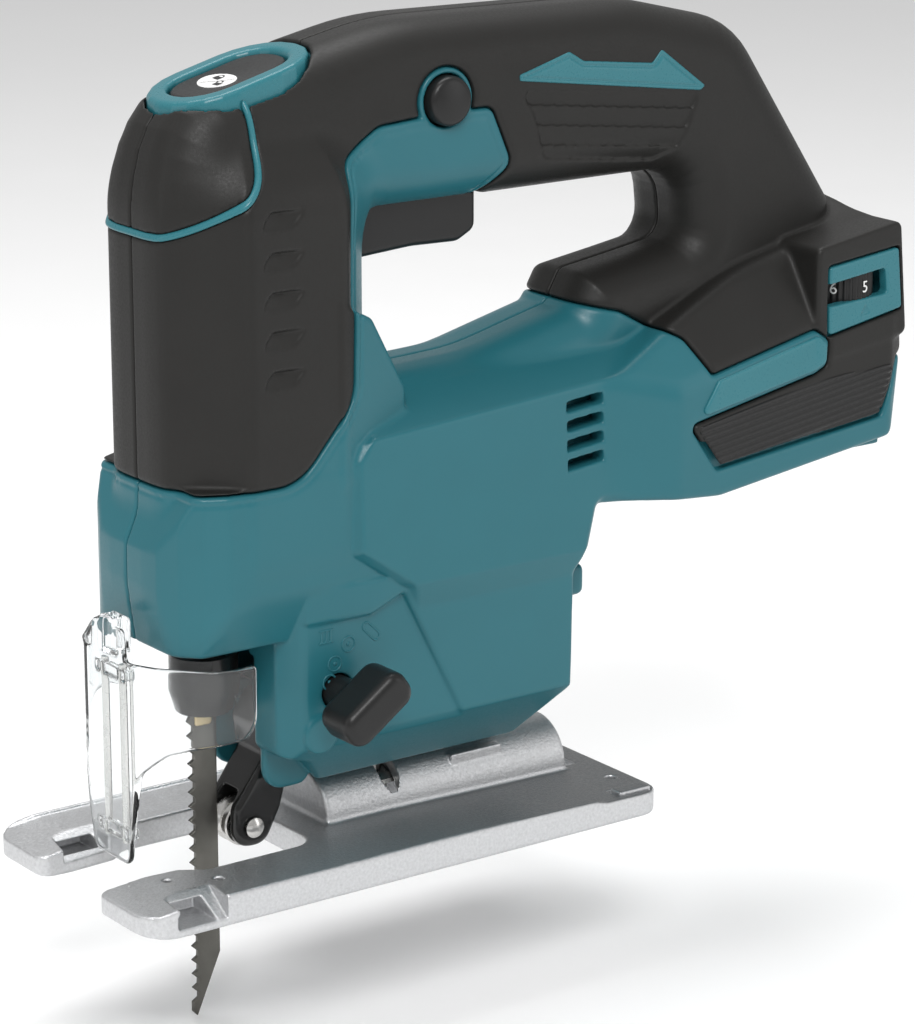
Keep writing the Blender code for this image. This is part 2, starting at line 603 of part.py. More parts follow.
# ---------------------------------------------------------------- motor and electrics
def motor():
    """The brushless motor: rotor, fan, stator, end windings and bearings."""
    z = PINION_Z
    rotor = rod("motor_rotor", "X", (0, 0, z), 2.5, -22, 60, 14)
    pinion = slab("pinion", [gear_outline(0, z, 2.9, 3.8, 8)], "X", -21, -15)
    join(rotor, pinion, rod("magnet", "X", (0, 0, z), 11, 8, 38, 20, 0.6))
    finish(rotor, "motor_rotor", STEEL, 0.35, 0.9, (8, 0, z))
    fan = rod("fan", "X", (0, 0, z), 19, 45.5, 47.5, 24)
    join(fan, rod("hub", "X", (0, 0, z), 6, 46, 53, 14))
    for index in range(9):
        vane = box("vane", (47, -0.8, 5), (53, 0.8, 18.5))
        vane.data.transform(Matrix.Rotation(2 * math.pi * index / 9, 4, "X"))
        vane.data.transform(Matrix.Translation((0, 0, z * MM)))
        join(fan, vane)
    cut(fan, rod("bore", "X", (0, 0, z), 2.8, 40, 60, 14))
    finish(fan, "motor_fan", BLACK, 0.5, 0.0, (48, 0, z))
    stator = rod("stator", "X", (0, 0, z), 19.8, 6, 40, 28)
    cut(stator, rod("bore", "X", (0, 0, z), 11.8, 0, 50, 24))
    for index in range(6):
        groove = box("groove", (0, -1.2, 18.7), (50, 1.2, 24))
        groove.data.transform(Matrix.Rotation(2 * math.pi * index / 6, 4, "X"))
        groove.data.transform(Matrix.Translation((0, 0, z * MM)))
        cut(stator, groove)
    finish(stator, "motor_stator", GREY, 0.4, 0.8)
    for start, word in ((1.7, "front"), (40.3, "rear")):
        profile = [(12.2, start + 4), (17.5, start + 4), (17.5, start), (12.2, start),
                   (12.2, start + 4)]
        ring = turned("winding", profile, "X", (0, 0, z))
        finish(ring, "winding_" + word, COPPER, 0.4, 0.7)
    bearing("motor_bearing_front", z, 2.8, 8, -7.8, -2.8)
    bearing("motor_bearing_rear", z, 2.8, 8, 55, 60)


def electrics():
    """Controller, switch, trigger, buttons, speed dial, battery contacts and work light."""
    module = box("controller", (8.6, -18, 60), (46, 18, 74), 1)
    for index in range(7):
        x = 8 + 5.5 * index
        cut(module, box("fin", (x, -20, 71), (x + 3, 20, 76)))
    finish(module, "controller", GREY, 0.5, 0.5)
    finish(box("switch_body", (4, -9, 172.8), (34, 9, 183), 0.8), "switch_body", BLACK, 0.5)
    lever = slab("trigger", [[(-1.6, 170.5, 1), (-1.6, 157, 4), (4, 152, 4), (34, 152.2, 4),
                              (39.4, 157, 4), (39.4, 165.5, 1)]], "Y", -9, 9, 2, arcs=2)
    finish(lever, "trigger", BLACK, 0.45, 0.0, (1.5, 0, 168))
    lock = rod("lock_button", "Y", (24, 0, 190), 6.2, -20.6, 17.8, 24, 0.8)
    finish(lock, "lock_button", BLACK, 0.35, 0.0, (24, 0, 190))
    top_plane = box("above", (-60, -40, 0), (60, 40, 60))
    top_plane.data.transform(Matrix.Rotation(math.radians(-15), 4, "Y"))
    top_plane.data.transform(Matrix.Translation(Vector((-28, 0, 199.6)) * MM))
    oval = [(-47.7, -14.7, 13.7), (-8.3, -14.7, 13.7), (-8.3, 14.7, 13.7), (-47.7, 14.7, 13.7)]
    ring = slab("power_ring", [oval], "Z", 187.5, 215, arcs=4)
    hole = [(-43, -10, 9.6), (-13, -10, 9.6), (-13, 10, 9.6), (-43, 10, 9.6)]
    cut(ring, slab("hole", [hole], "Z", 180, 220, arcs=4), copy(top_plane))
    finish(ring, "power_ring", TEAL, 0.4)
    cap = [(-42.6, -9.6, 9.2), (-13.4, -9.6, 9.2), (-13.4, 9.6, 9.2), (-42.6, 9.6, 9.2)]
    top_plane.data.transform(Matrix.Translation((0, 0, -0.6 * MM)))
    button = cut(slab("power_button", [cap], "Z", 190, 215, arcs=4), top_plane)
    finish(button, "power_button", BLACK, 0.4, 0.0, (-28, 0, 198))
    dial = slab("speed_dial", [gear_outline(147, -24.7, 8.3, 8.9, 22)], "Z", 126.8, 135.6)
    finish(dial, "speed_dial", BLACK, 0.5, 0.0, (147, -24.7, 132))
    bezel = slab("dial_bezel", [[(133.4, 119.6, 1), (160.6, 124.2, 1), (160.6, 146.2, 1),
                                 (133.4, 141.6, 1)],
                                [(137, 125.6, 1), (157, 126.4, 1), (157, 139, 1), (137, 137, 1)]],
                 "Y", -34.6, -32.1)
    finish(bezel, "dial_bezel", TEAL, 0.4)
    block = box("terminal_block", (82, -15, 89), (104, 15, 97.6), 0.6)
    finish(block, "terminal_block", BLACK, 0.5)
    for y, word in ((-9, "left"), (9, "right")):
        blade_contact = box("terminal", (104.3, y - 0.5, 90), (119, y + 0.5, 96.4))
        finish(blade_contact, "terminal_" + word, STEEL, 0.3, 0.9)
    finish(rod("work_light", "Z", (-51, -8, 0), 2.1, 60.6, 66, 14, 0.5), "work_light", WHITE, 0.1)


# ---------------------------------------------------------------- orbital action
def orbital():
    """The orbital selector with its cam shaft, and the roller fork behind the blade."""
    turn = math.radians(LEVER_TURN)
    along = Vector((math.cos(turn), math.sin(turn)))
    across = Vector((-along.y, along.x))
    centre = Vector((LEVER_X, LEVER_Z))
    corners = []
    for a, b in ((-10.9, -5.7), (10.9, -5.7), (10.9, 5.7), (-10.9, 5.7)):
        corners.append((*(centre + along * a + across * b), 3.6))
    knob = slab("knob", [corners], "Y", -44, -29.5, 1.6, arcs=2)
    join(knob, rod("shaft", "Y", (LEVER_X, 0, LEVER_Z), 4.2, -33, 7.5, 16))
    cut(knob, box("cam_flat", (LEVER_X - 8, -7, LEVER_Z - 8), (LEVER_X - 1.5, 9, LEVER_Z + 8)))
    finish(knob, "orbital_lever", BLACK, 0.5, 0.0, (LEVER_X, -38, LEVER_Z))
    side = [(-16.5, 41, 2), (-22, 44, 3), (-26.5, 36, 3), (-24.5, 28, 3),
            (-33.5, 15.5, 5), (-33.8, 4.8, 5), (-24.5, 4.4, 5), (-19.8, 13.5, 5), (-15.8, 28, 5)]
    fork = slab("fork", [side], "Y", -7, 7, 0.8, arcs=2)
    cut(fork, box("roller_gap", (-50, -3.6, -5), (-10, 3.6, 19)),
        rod("pivot", "Y", (FORK_X, 0, FORK_Z), 2.8, -10, 10, 12),
        rod("pin", "Y", (ROLLER_X, 0, ROLLER_Z), 2.3, -10, 10, 12))
    finish(fork, "roller_fork", BLACK, 0.4, 0.3, (FORK_X, 0, FORK_Z))
    profile = [(2.3, 3.2), (ROLLER_RADIUS, 3.2), (ROLLER_RADIUS, 1.2), (5.0, 0.7), (5.0, -0.7),
               (ROLLER_RADIUS, -1.2), (ROLLER_RADIUS, -3.2), (2.3, -3.2), (2.3, 3.2)]
    roller = turned("roller", profile, "Y", (ROLLER_X, 0, ROLLER_Z), 24)
    finish(roller, "roller", STEEL, 0.25, 0.95, (ROLLER_X, 0, ROLLER_Z))
    pin = rod("roller_pin", "Y", (ROLLER_X, 0, ROLLER_Z), 2.0, -8.2, 8.2, 14, 0.4)
    finish(pin, "roller_pin", STEEL, 0.3, 0.9, (ROLLER_X, 0, ROLLER_Z))
    pivot = rod("fork_pivot_pin", "Y", (FORK_X, 0, FORK_Z), 2.5, -14, 14, 14)
    finish(pivot, "fork_pivot_pin", STEEL, 0.3, 0.9)


# ---------------------------------------------------------------- trims, screws, key
def trims():
    """Side plates on the battery end and the handle, housing screws and the hex key."""
    label = [(91, 104.6, 1), (134, 112.8, 1), (131, 119.2, 1), (91, 111.6, 1)]
    plate = [(88, 103, 1), (151, 115, 1), (156, 101, 1), (98, 90.2, 1)]
    arrow = [(46, 193.5, 0), (62, 198, 1), (65.5, 196, 0), (88, 193, 0), (90.5, 196, 1), (105, 185.5, 0)]
    for side, word in ((-1, "left"), (1, "right")):
        near, far = sorted((side * 34.3, side * 35.1))
        finish(slab("label", [label], "Y", near, far, 0.2), "label_" + word, TEAL, 0.4)
        near, far = sorted((side * 34.3, side * 35.9))
        ribbed = slab("rib_plate", [plate], "Y", near, far, 0.3)
        for index in range(6):
            x = 98 + 9 * index
            near, far = sorted((side * 35.4, side * 37))
            cut(ribbed, box("rib_gap", (x, near, 80), (x + 3, far, 120)))
        finish(ribbed, "rib_plate_" + word, BLACK, 0.55)
        near, far = sorted((side * (HANDLE_HALF + GAP), side * (HANDLE_HALF + 1.2)))
        finish(slab("handle_trim", [arrow], "Y", near, far, 0.2), "handle_trim_" + word, TEAL, 0.4)
    for index, (x, z, seat) in enumerate(SCREWS):
        screw = rod("screw", "Y", (x, 0, z), 3.5, seat, seat + 2.6, 10)
        join(screw, rod("shank", "Y", (x, 0, z), 1.8, -12, seat + 1, 8))
        cut(screw, rod("drive", "Y", (x, 0, z), 1.4, seat + 1.4, seat + 4, 6))
        finish(screw, "housing_screw_%d" % (index + 1), STEEL, 0.35, 0.9)
    key = tube("hex_key", [(14, 9, 54), (62, 9, 54), (64.5, 8.3, 54), (66, 6, 54), (66, -10, 54)],
               2.0, 1)
    finish(key, "hex_key", STEEL, 0.35, 0.9, (66, 9, 54))


housing_and_grips()
base()
guard()
blade()
plunger()
crank()
motor()
electrics()
orbital()
trims()
for obj in list(CUTTERS.objects):
    bpy.data.objects.remove(obj, do_unlink=True)
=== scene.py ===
"""The look of the cordless D-handle jigsaw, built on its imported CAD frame.

The moulded parts are distance fields, in millimetres, that are meshed and then turned into
metres. The blade end faces -X, the operator's left side faces -Y, and +Z is up.
"""

import math

import bmesh
import bpy
import numpy as np
import openvdb
from mathutils import Matrix, Vector


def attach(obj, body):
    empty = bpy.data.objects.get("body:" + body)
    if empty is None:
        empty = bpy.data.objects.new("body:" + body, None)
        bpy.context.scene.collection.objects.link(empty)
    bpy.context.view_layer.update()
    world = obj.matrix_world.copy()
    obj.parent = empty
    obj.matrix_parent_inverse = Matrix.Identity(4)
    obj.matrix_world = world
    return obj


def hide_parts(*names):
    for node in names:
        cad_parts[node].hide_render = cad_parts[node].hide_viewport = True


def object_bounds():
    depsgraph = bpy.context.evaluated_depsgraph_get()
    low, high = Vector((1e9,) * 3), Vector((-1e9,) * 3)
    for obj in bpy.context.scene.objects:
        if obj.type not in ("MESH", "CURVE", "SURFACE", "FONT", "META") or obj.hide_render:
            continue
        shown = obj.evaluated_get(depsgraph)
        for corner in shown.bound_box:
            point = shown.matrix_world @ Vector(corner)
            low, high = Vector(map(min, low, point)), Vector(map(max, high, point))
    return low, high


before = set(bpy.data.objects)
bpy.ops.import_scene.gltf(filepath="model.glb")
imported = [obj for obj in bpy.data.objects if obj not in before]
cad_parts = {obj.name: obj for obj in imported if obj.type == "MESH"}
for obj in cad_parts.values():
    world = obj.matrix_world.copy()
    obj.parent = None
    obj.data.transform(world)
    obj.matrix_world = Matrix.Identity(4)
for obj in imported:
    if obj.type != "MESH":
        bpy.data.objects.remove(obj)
CAD_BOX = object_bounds()
MM = 0.001


# ---------------------------------------------------------------- outlines (mm), as in the CAD
HANDLE_LOOP = [(-54, 96, 0), (-54, 195.5, 22), (12, 209.6, 90), (86, 208.8, 70), (121, 200.5, 24),
               (155, 151, 0), (155, 100, 0)]
FINGER_HOLE = [(-2, 163.5, 10), (103, 163.5, 9), (105, 144.5, 6), (89, 142, 12), (72, 139.5, 3),
               (67, 131, 2), (34, 123, 30), (-2, 122.5, 12)]
COLUMN_PLAN = [(-54, -11.3, 3), (-40, -27, 4), (-12, -27, 3), (0, -15, 3), (0, 15, 3),
               (-12, 27, 3), (-40, 27, 4), (-54, 11.3, 3)]
GUSSET = [(-14, 146, 0), (-3, 140.5, 3), (9, 121, 2), (9, 112, 0), (-14, 100, 0)]
NOSE_PLAN = [(-60, -27, 20), (8, -27, 0), (8, 27, 0), (-60, 27, 20)]
NOSE_SIDE = [(-57.5, 62.5, 1), (-59.8, 79, 1), (-59.5, 88, 3), (-54.0, 100.5, 1), (-53.0, 104, 0),
             (8, 104, 0), (8, 62.5, 0)]
NOSE_END = [(-27, 106), (-27, 77), (-22.5, 62.5), (22.5, 62.5), (27, 77), (27, 106)]
BODY_SIDE = [(7, 135, 0), (-1, 119, 2), (-11.2, 106.5, 3), (-11.4, 82.8, 2), (4.3, 71.8, 2),
             (7, 63, 0), (56.5, 63, 1), (60, 70, 2), (64, 84, 2), (100, 84, 0), (100, 135, 0)]
BODY_END = [(-6, 124, 1), (-15, 120.5, 1), (-27.5, 114, 1), (-29.8, 73, 0), (-26.6, 64, 0),
            (-26.6, 60, 0), (26.6, 60, 0), (26.6, 64, 0), (29.8, 73, 0), (27.5, 114, 1),
            (15, 120.5, 1), (6, 124, 1)]
LOWER_SIDE = [(-30, 33, 2), (-20, 29, 2), (-12, 20.3, 3), (49, 20.3, 2), (57, 35, 2), (57, 76, 0),
              (-30, 76, 0)]
LOWER_END = [(-11.5, 20.3, 2), (-26.5, 36.2, 1), (-27.5, 76, 0), (27.5, 76, 0), (26.5, 36.2, 1),
             (11.5, 20.3, 2)]
LOWER_PLAN = [(-30, -20, 1), (-24, -26, 1), (0, -28, 0), (70, -28, 0), (70, 28, 0), (0, 28, 0),
              (-24, 26, 1), (-30, 20, 1)]
LEVER_PANEL = [(-40, 66, 0), (-5.5, 66.5, 1), (4, 70.5, 1), (22.5, 34, 1), (10, 10, 0), (-40, 10, 0)]
BLOCK_SIDE = [(62, 84, 5), (100, 81, 10), (160, 88.5, 3), (164.5, 112, 4), (158.5, 153, 5),
              (135, 147.5, 6), (118, 139.5, 8), (88.5, 126, 6), (62, 113, 0)]
BLOCK_PLAN = [(52, -24, 4), (86, -34, 12), (158, -34, 4), (168, -29, 0), (168, 29, 0), (158, 34, 4),
              (86, 34, 12), (52, 24, 4)]
GRIP_SIDE = [(-70, 103, 0), (-60, 103, 3), (-26, 103, 14), (-9.5, 122, 12), (-8, 178, 5),
             (4, 185.5, 6), (24, 187, 0), (38, 187, 3), (44.5, 172, 4), (37, 164, 2), (38, 160, 0),
             (50, 150, 0), (66, 141, 0), (67, 132.8, 1), (79, 130, 4), (92, 122.8, 3),
             (97, 113.6, 1), (131.5, 121, 1.5), (135.8, 118, 1.5), (135.4, 111, 1.5),
             (131.5, 109.2, 1.5), (89.4, 101.4, 1.5), (98.5, 88.5, 1.5), (155, 94.4, 1.5),
             (161.5, 109.5, 1), (172, 113, 0), (172, 225, 0), (-70, 225, 0)]
DIAL_SEAT = [(131.5, 112, 2), (163.6, 116, 2), (160.8, 147, 2), (131.5, 142.5, 2)]
LUG = [(-28.6, 20.7, 6), (-16, 20.7, 4), (-12, 30, 0), (-12, 44, 0), (-28.6, 40, 3)]
PIPING = [(-66, 162.5), (-57, 163.5), (-50, 166.5), (-42, 171), (-36, 175.5), (-33, 182),
          (-32.5, 190), (-34, 199)]
LOCK_X, LOCK_Z = 24.0, 190.0
SWITCH_X = -28.0
SWITCH_TOP = 198.9            # height of the pressed face over the middle of the switch
SWITCH_LEAN = math.radians(15)
DIAL_X, DIAL_Y = 147.0, -24.7
NUMERALS, NUMERAL_STEP = 6, 60
BOLT_X = 12.0
LEVER_X, LEVER_Z = -14.8, 48.1
LEVER_TURN = math.radians(35)
FORK_X, FORK_Z = -20.0, 38.0
ROLLER_X, ROLLER_Z = -28.5, 10.0
PLUNGER_X = -38.0
WIRE_X, WIRE_Y = -62.8, 4.2
BLADE_FRONT, BLADE_BACK = PLUNGER_X - 5.2, PLUNGER_X + 3.0
BLADE_END = 56.6              # top of the shank
TOOTH_PITCH = 3.75
FIRST_TOOTH = -36.0
TEETH = 20
TILT_Z = 8.0
SADDLE_RADIUS = 11.5
SOLE_HALF_LENGTH, SOLE_HALF_WIDTH = 78.2, 38.5
HANDLE_HALF = 17.5            # half the handle's thickness
WALL = 3.4
SKIN = 2.0                    # depth of the soft grip
SKIN_GAP = 0.3
SPLIT = 0.12                  # half the gap on the parting line
DIAGONAL = 0.7071


# ---------------------------------------------------------------- distance fields
def rounded(points, steps=5):
    """The corners (a, b, radius) of an outline, each drawn as an arc."""
    outline = []
    for index, (a, b, radius) in enumerate(points):
        corner = Vector((a, b))
        before = Vector(points[index - 1][:2]) - corner
        after = Vector(points[(index + 1) % len(points)][:2]) - corner
        angle = before.angle(after)
        if radius <= 0 or angle > math.pi - 0.02:
            outline.append((a, b))
            continue
        reach = min(radius / math.tan(angle / 2), before.length * 0.49, after.length * 0.49)
        radius = reach * math.tan(angle / 2)
        centre = corner + (before.normalized() + after.normalized()).normalized() * (
            radius / math.sin(angle / 2))
        spoke = corner + before.normalized() * reach - centre
        sweep = spoke.angle_signed(corner + after.normalized() * reach - centre)
        for step in range(steps + 1):
            turned = spoke.copy()
            turned.rotate(Matrix.Rotation(-sweep * step / steps, 2))
            outline.append(tuple(centre + turned))
    return outline


def to_segments(a, b, ends):
    """Squared distances from (a, b) to each segment in turn."""
    for (p, q), (r, s) in ends:
        along_a, along_b = r - p, s - q
        from_a, from_b = a - p, b - q
        share = (from_a * along_a + from_b * along_b) / max(along_a ** 2 + along_b ** 2, 1e-9)
        share = np.clip(share, 0, 1)
        yield (from_a - along_a * share) ** 2 + (from_b - along_b * share) ** 2


def region(a, b, points):
    """Signed distance in one plane to a closed outline, negative inside."""
    corners = rounded([point if len(point) == 3 else (*point, 0) for point in points])
    ends = list(zip(corners, corners[1:] + corners[:1]))
    best = None
    for squared in to_segments(a, b, ends):
        best = squared if best is None else np.minimum(best, squared)
    inside = np.zeros(best.shape, bool)
    for (p, q), (r, s) in ends:
        if q != s:
            spans = (q > b) != (s > b)
            inside ^= spans & (a < p + (r - p) * (b - q) / (s - q))
    return np.where(inside, -1, 1) * np.sqrt(best)


def path(a, b, points):
    """Distance in one plane to an open line."""
    best = None
    for squared in to_segments(a, b, list(zip(points, points[1:]))):
        best = squared if best is None else np.minimum(best, squared)
    return np.sqrt(best)


def prism(flat, along, low, high, edge=0.0):
    """A flat region drawn out from low to high, with its rims rounded by edge."""
    over = flat + edge
    past = np.maximum(low - along, along - high) + edge
    return np.minimum(np.maximum(over, past), 0) + np.hypot(
        np.maximum(over, 0), np.maximum(past, 0)) - edge


def brick(x, y, z, low, high, edge=0.0):
    """A box, with its edges rounded where an edge is given."""
    if edge:
        return rounded_brick(x, y, z, low, high, edge)
    flat = prism(np.maximum(low[0] - x, x - high[0]), y, low[1], high[1])
    return prism(flat, z, low[2], high[2])


def rounded_brick(x, y, z, low, high, edge):
    """A box whose edges and corners are rounded."""
    sides = [np.maximum(l - c, c - h) + edge for c, l, h in zip((x, y, z), low, high)]
    outside = np.sqrt(sum(np.maximum(side, 0) ** 2 for side in sides))
    return np.minimum(np.maximum(np.maximum(sides[0], sides[1]), sides[2]), 0) + outside - edge


def join(a, b, k=0.0):
    """Both fields, with a fillet of about k."""
    if k <= 0:
        return np.minimum(a, b)
    reach = np.maximum(k - np.abs(a - b), 0) / k
    return np.minimum(a, b) - reach * reach * k / 4


def common(a, b, k=0.0):
    """Where both fields are, with the edge rounded by about k."""
    return -join(-a, -b, k)


def cut(a, b, k=0.0):
    """The first field without the second."""
    return -join(-a, b, k)


def chamfered(a, b, size):
    """Where both fields are, with a flat bevel along the edge."""
    return np.maximum(np.maximum(a, b), (a + b + size) * DIAGONAL)


def disc(a, b, centre, radius):
    """A round region."""
    return np.hypot(a - centre[0], b - centre[1]) - radius


# ---------------------------------------------------------------- meshes
def new_object(name, mesh, material, body, nodes=()):
    """Puts a finished mesh, in metres, on a CAD body."""
    piece = bpy.data.objects.new(name, mesh)
    bpy.context.scene.collection.objects.link(piece)
    if not mesh.materials:
        mesh.materials.append(material)
    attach(piece, body)
    if nodes:
        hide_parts(*nodes)
    return piece


def relax(points, edges, rounds):
    """Moves each point part of the way to the middle of its neighbours."""
    links = np.bincount(edges.ravel(), minlength=len(points))[:, None].astype(np.float32)
    for _ in range(rounds):
        total = np.zeros_like(points)
        for axis in range(3):
            total[:, axis] = (
                np.bincount(edges[:, 0], points[edges[:, 1], axis], len(points)) +
                np.bincount(edges[:, 1], points[edges[:, 0], axis], len(points)))
        points = points * 0.5 + total / links * 0.5
    return points


def surface(name, field, low, high, pitch, rounds=3, most=0):
    """Meshes a field of (x, y, z) inside a box; lengths are in mm and the mesh is in metres."""
    low = [math.floor(value / pitch) - 2 for value in low]
    high = [math.ceil(value / pitch) + 2 for value in high]
    x, y, z = (
        (np.arange(low[axis], high[axis] + 1, dtype=np.float32) * pitch).reshape(
            [-1 if other == axis else 1 for other in range(3)])
        for axis in range(3))
    values = np.broadcast_to(field(x, y, z), (x.size, y.size, z.size))
    values = np.clip(values, -3 * pitch, 3 * pitch).astype(np.float32)
    grid = openvdb.FloatGrid(3 * pitch)
    grid.copyFromArray(values, ijk=tuple(low), tolerance=0.0)
    grid.transform = openvdb.createLinearTransform(voxelSize=pitch)
    points, quads = grid.convertToQuads(isovalue=0.0)
    mesh = bpy.data.meshes.new(name)
    edges = np.concatenate([quads[:, (i, (i + 1) % 4)] for i in range(4)])
    edges = np.unique(np.sort(edges, axis=1), axis=0)
    points = relax(points.astype(np.float32), edges, rounds)
    mesh.vertices.add(len(points))
    mesh.vertices.foreach_set("co", (points * MM).ravel())
    mesh.loops.add(quads.size)
    mesh.loops.foreach_set("vertex_index", quads.ravel().astype(np.int32))
    mesh.polygons.add(len(quads))
    mesh.polygons.foreach_set("loop_start", np.arange(0, quads.size, 4, dtype=np.int32))
    mesh.update(calc_edges=True)
    mesh.validate()
    if most and len(quads) * 2 > most:
        thin(mesh, most / (len(quads) * 2))
    mesh.shade_smooth()
    return mesh


def thin(mesh, ratio):
    """Collapses a mesh to a share of its triangles."""
    holder = bpy.data.objects.new("thin", mesh)
    bpy.context.scene.collection.objects.link(holder)
    modifier = holder.modifiers.new("thin", "DECIMATE")
    modifier.ratio = ratio
    evaluated = holder.evaluated_get(bpy.context.evaluated_depsgraph_get())
    result = bpy.data.meshes.new_from_object(evaluated)
    bpy.data.objects.remove(holder)
    mesh.clear_geometry()
    joined = bmesh.new()
    joined.from_mesh(result)
    joined.to_mesh(mesh)
    joined.free()
    bpy.data.meshes.remove(result)


def lathe(profile, centre, axis, steps=64):
    """A turned mesh from (radius, along) points, in mm; an end at radius 0 closes it."""
    shape = bmesh.new()
    turn = {"X": Matrix.Rotation(math.pi / 2, 4, "Y"), "Z": Matrix.Identity(4),
            "Y": Matrix.Rotation(-math.pi / 2, 4, "X")}[axis]
    rings = []
    for radius, along in profile:
        if radius == 0:
            rings.append([shape.verts.new((0, 0, along))])
            continue
        rings.append([shape.verts.new((radius * math.cos(2 * math.pi * i / steps),
                                       radius * math.sin(2 * math.pi * i / steps), along))
                      for i in range(steps)])
    for one, two in zip(rings, rings[1:]):
        for i in range(steps):
            j = (i + 1) % steps
            corners = [one[i % len(one)], one[j % len(one)], two[j % len(two)], two[i % len(two)]]
            corners = list(dict.fromkeys(corners))
            if len(corners) > 2:
                shape.faces.new(corners)
    if len(rings[0]) > 1 and profile[0] != profile[-1]:
        shape.faces.new(rings[0][::-1])
        shape.faces.new(rings[-1])
    bmesh.ops.remove_doubles(shape, verts=shape.verts, dist=1e-5)
    bmesh.ops.recalc_face_normals(shape, faces=shape.faces)
    shape.transform(Matrix.Scale(MM, 4) @ Matrix.Translation(centre) @ turn)
    mesh = bpy.data.meshes.new("turned")
    shape.to_mesh(mesh)
    shape.free()
    mesh.shade_smooth()
    mesh.set_sharp_from_angle(angle=math.radians(35))
    return mesh


# ---------------------------------------------------------------- materials
COLOUR_A, COLOUR_B, MIXED = 6, 7, 2     # a colour Mix node's own sockets


def finish(name, colour, roughness, metallic=0.0, mottle=0.12, patch=60.0, grain=900.0,
           depth=0.00003, strength=0.4, spread=0.06, stretch=None, transmission=0.0, ior=1.5,
           specular=0.5, layer=None):
    """A procedural finish: mottled colour, uneven gloss and a fine raised grain."""
    material = bpy.data.materials.new(name)
    material.use_nodes = True
    tree = material.node_tree
    shader = tree.nodes["Principled BSDF"]
    shader.inputs["Metallic"].default_value = metallic
    shader.inputs["Transmission Weight"].default_value = transmission
    shader.inputs["IOR"].default_value = ior
    shader.inputs["Specular IOR Level"].default_value = specular

    def node(kind, **values):
        made = tree.nodes.new(kind)
        for key, value in values.items():
            if key in made.inputs:
                made.inputs[key].default_value = value
            else:
                setattr(made, key, value)
        return made

    place = node("ShaderNodeTexCoord")
    source = place.outputs["Object"]
    if stretch:
        mapping = node("ShaderNodeMapping")
        mapping.inputs["Scale"].default_value = stretch
        tree.links.new(source, mapping.inputs["Vector"])
        source = mapping.outputs["Vector"]
    cloud = node("ShaderNodeTexNoise", Scale=patch, Detail=4.0)
    fine = node("ShaderNodeTexNoise", Scale=grain, Detail=5.0, Roughness=0.6)
    tree.links.new(place.outputs["Object"], cloud.inputs["Vector"])
    tree.links.new(source, fine.inputs["Vector"])
    mix = node("ShaderNodeMix", data_type="RGBA")
    mix.inputs[COLOUR_A].default_value = (*(c * (1 - mottle) for c in colour), 1)
    mix.inputs[COLOUR_B].default_value = (*(min(c * (1 + mottle), 1) for c in colour), 1)
    tree.links.new(cloud.outputs["Fac"], mix.inputs["Factor"])
    colour_out = mix.outputs[MIXED]
    gloss = tree.nodes.new("ShaderNodeMapRange")
    spans = {"From Min": 0.3, "From Max": 0.7, "To Min": max(roughness - spread, 0.02),
             "To Max": min(roughness + spread, 1)}
    for key, value in spans.items():
        gloss.inputs[key].default_value = value
    tree.links.new(fine.outputs["Fac"], gloss.inputs["Value"])
    tree.links.new(gloss.outputs["Result"], shader.inputs["Roughness"])
    bump = node("ShaderNodeBump", Strength=strength, Distance=depth)
    tree.links.new(fine.outputs["Fac"], bump.inputs["Height"])
    tree.links.new(bump.outputs["Normal"], shader.inputs["Normal"])
    if layer:
        colour_out = layer(tree, node, colour_out)
    tree.links.new(colour_out, shader.inputs["Base Color"])
    return material


def sole_painted_shade(tree, node, colour):
    """Painted shade: darkens the flat top of the sole towards its back, but not its raised rim."""
    def links(source, target):
        tree.links.new(source, target)

    def ramp(value, start, end):
        made = node("ShaderNodeMapRange")
        made.inputs["From Min"].default_value = start
        made.inputs["From Max"].default_value = end
        links(value, made.inputs["Value"])
        return made.outputs["Result"]

    def product(one, two):
        made = node("ShaderNodeMath", operation="MULTIPLY")
        links(one, made.inputs[0])
        links(two, made.inputs[1])
        return made.outputs[0]

    def parts(source):
        made = node("ShaderNodeSeparateXYZ")
        links(source, made.inputs["Vector"])
        return made.outputs

    place = parts(node("ShaderNodeTexCoord").outputs["Object"])
    facing = ramp(parts(node("ShaderNodeNewGeometry").outputs["Normal"])["Z"], 0.75, 0.97)
    height = ramp(place["Z"], 0.0085, 0.0080)
    back = ramp(place["X"], -0.030, 0.030)
    mix = node("ShaderNodeMix", data_type="RGBA")
    # the dark grey of the painted shade on the sole's flat top
    mix.inputs[COLOUR_B].default_value = (0.27, 0.275, 0.28, 1)
    links(colour, mix.inputs[COLOUR_A])
    links(product(product(facing, height), back), mix.inputs["Factor"])
    return mix.outputs[MIXED]


TEAL = (0.016, 0.122, 0.150)
teal = finish("teal_plastic", TEAL, 0.34, mottle=0.05, grain=1400, depth=0.00002, strength=0.35,
              specular=0.35)
teal_gloss = finish("teal_trim", (0.022, 0.15, 0.18), 0.3, mottle=0.04, grain=1600, strength=0.2,
                    specular=0.4)
rubber = finish("soft_grip", (0.015, 0.0145, 0.0135), 0.46, mottle=0.15, grain=1500, depth=0.00004,
                strength=0.6, spread=0.08, specular=0.25)
black = finish("black_plastic", (0.012, 0.012, 0.012), 0.34, grain=1300, strength=0.3,
               specular=0.3)
gloss_black = finish("gloss_black", (0.009, 0.009, 0.009), 0.2, grain=600, depth=0.00001,
                     strength=0.15, specular=0.4)
dark = finish("dark_plastic", (0.012, 0.012, 0.012), 0.5, grain=1300)
grey = finish("grey_plastic", (0.10, 0.10, 0.105), 0.5)
steel = finish("steel", (0.52, 0.51, 0.49), 0.3, 1.0, mottle=0.1, grain=500)
pin_steel = finish("bright_steel", (0.62, 0.61, 0.59), 0.24, 1.0, mottle=0.06, grain=700)
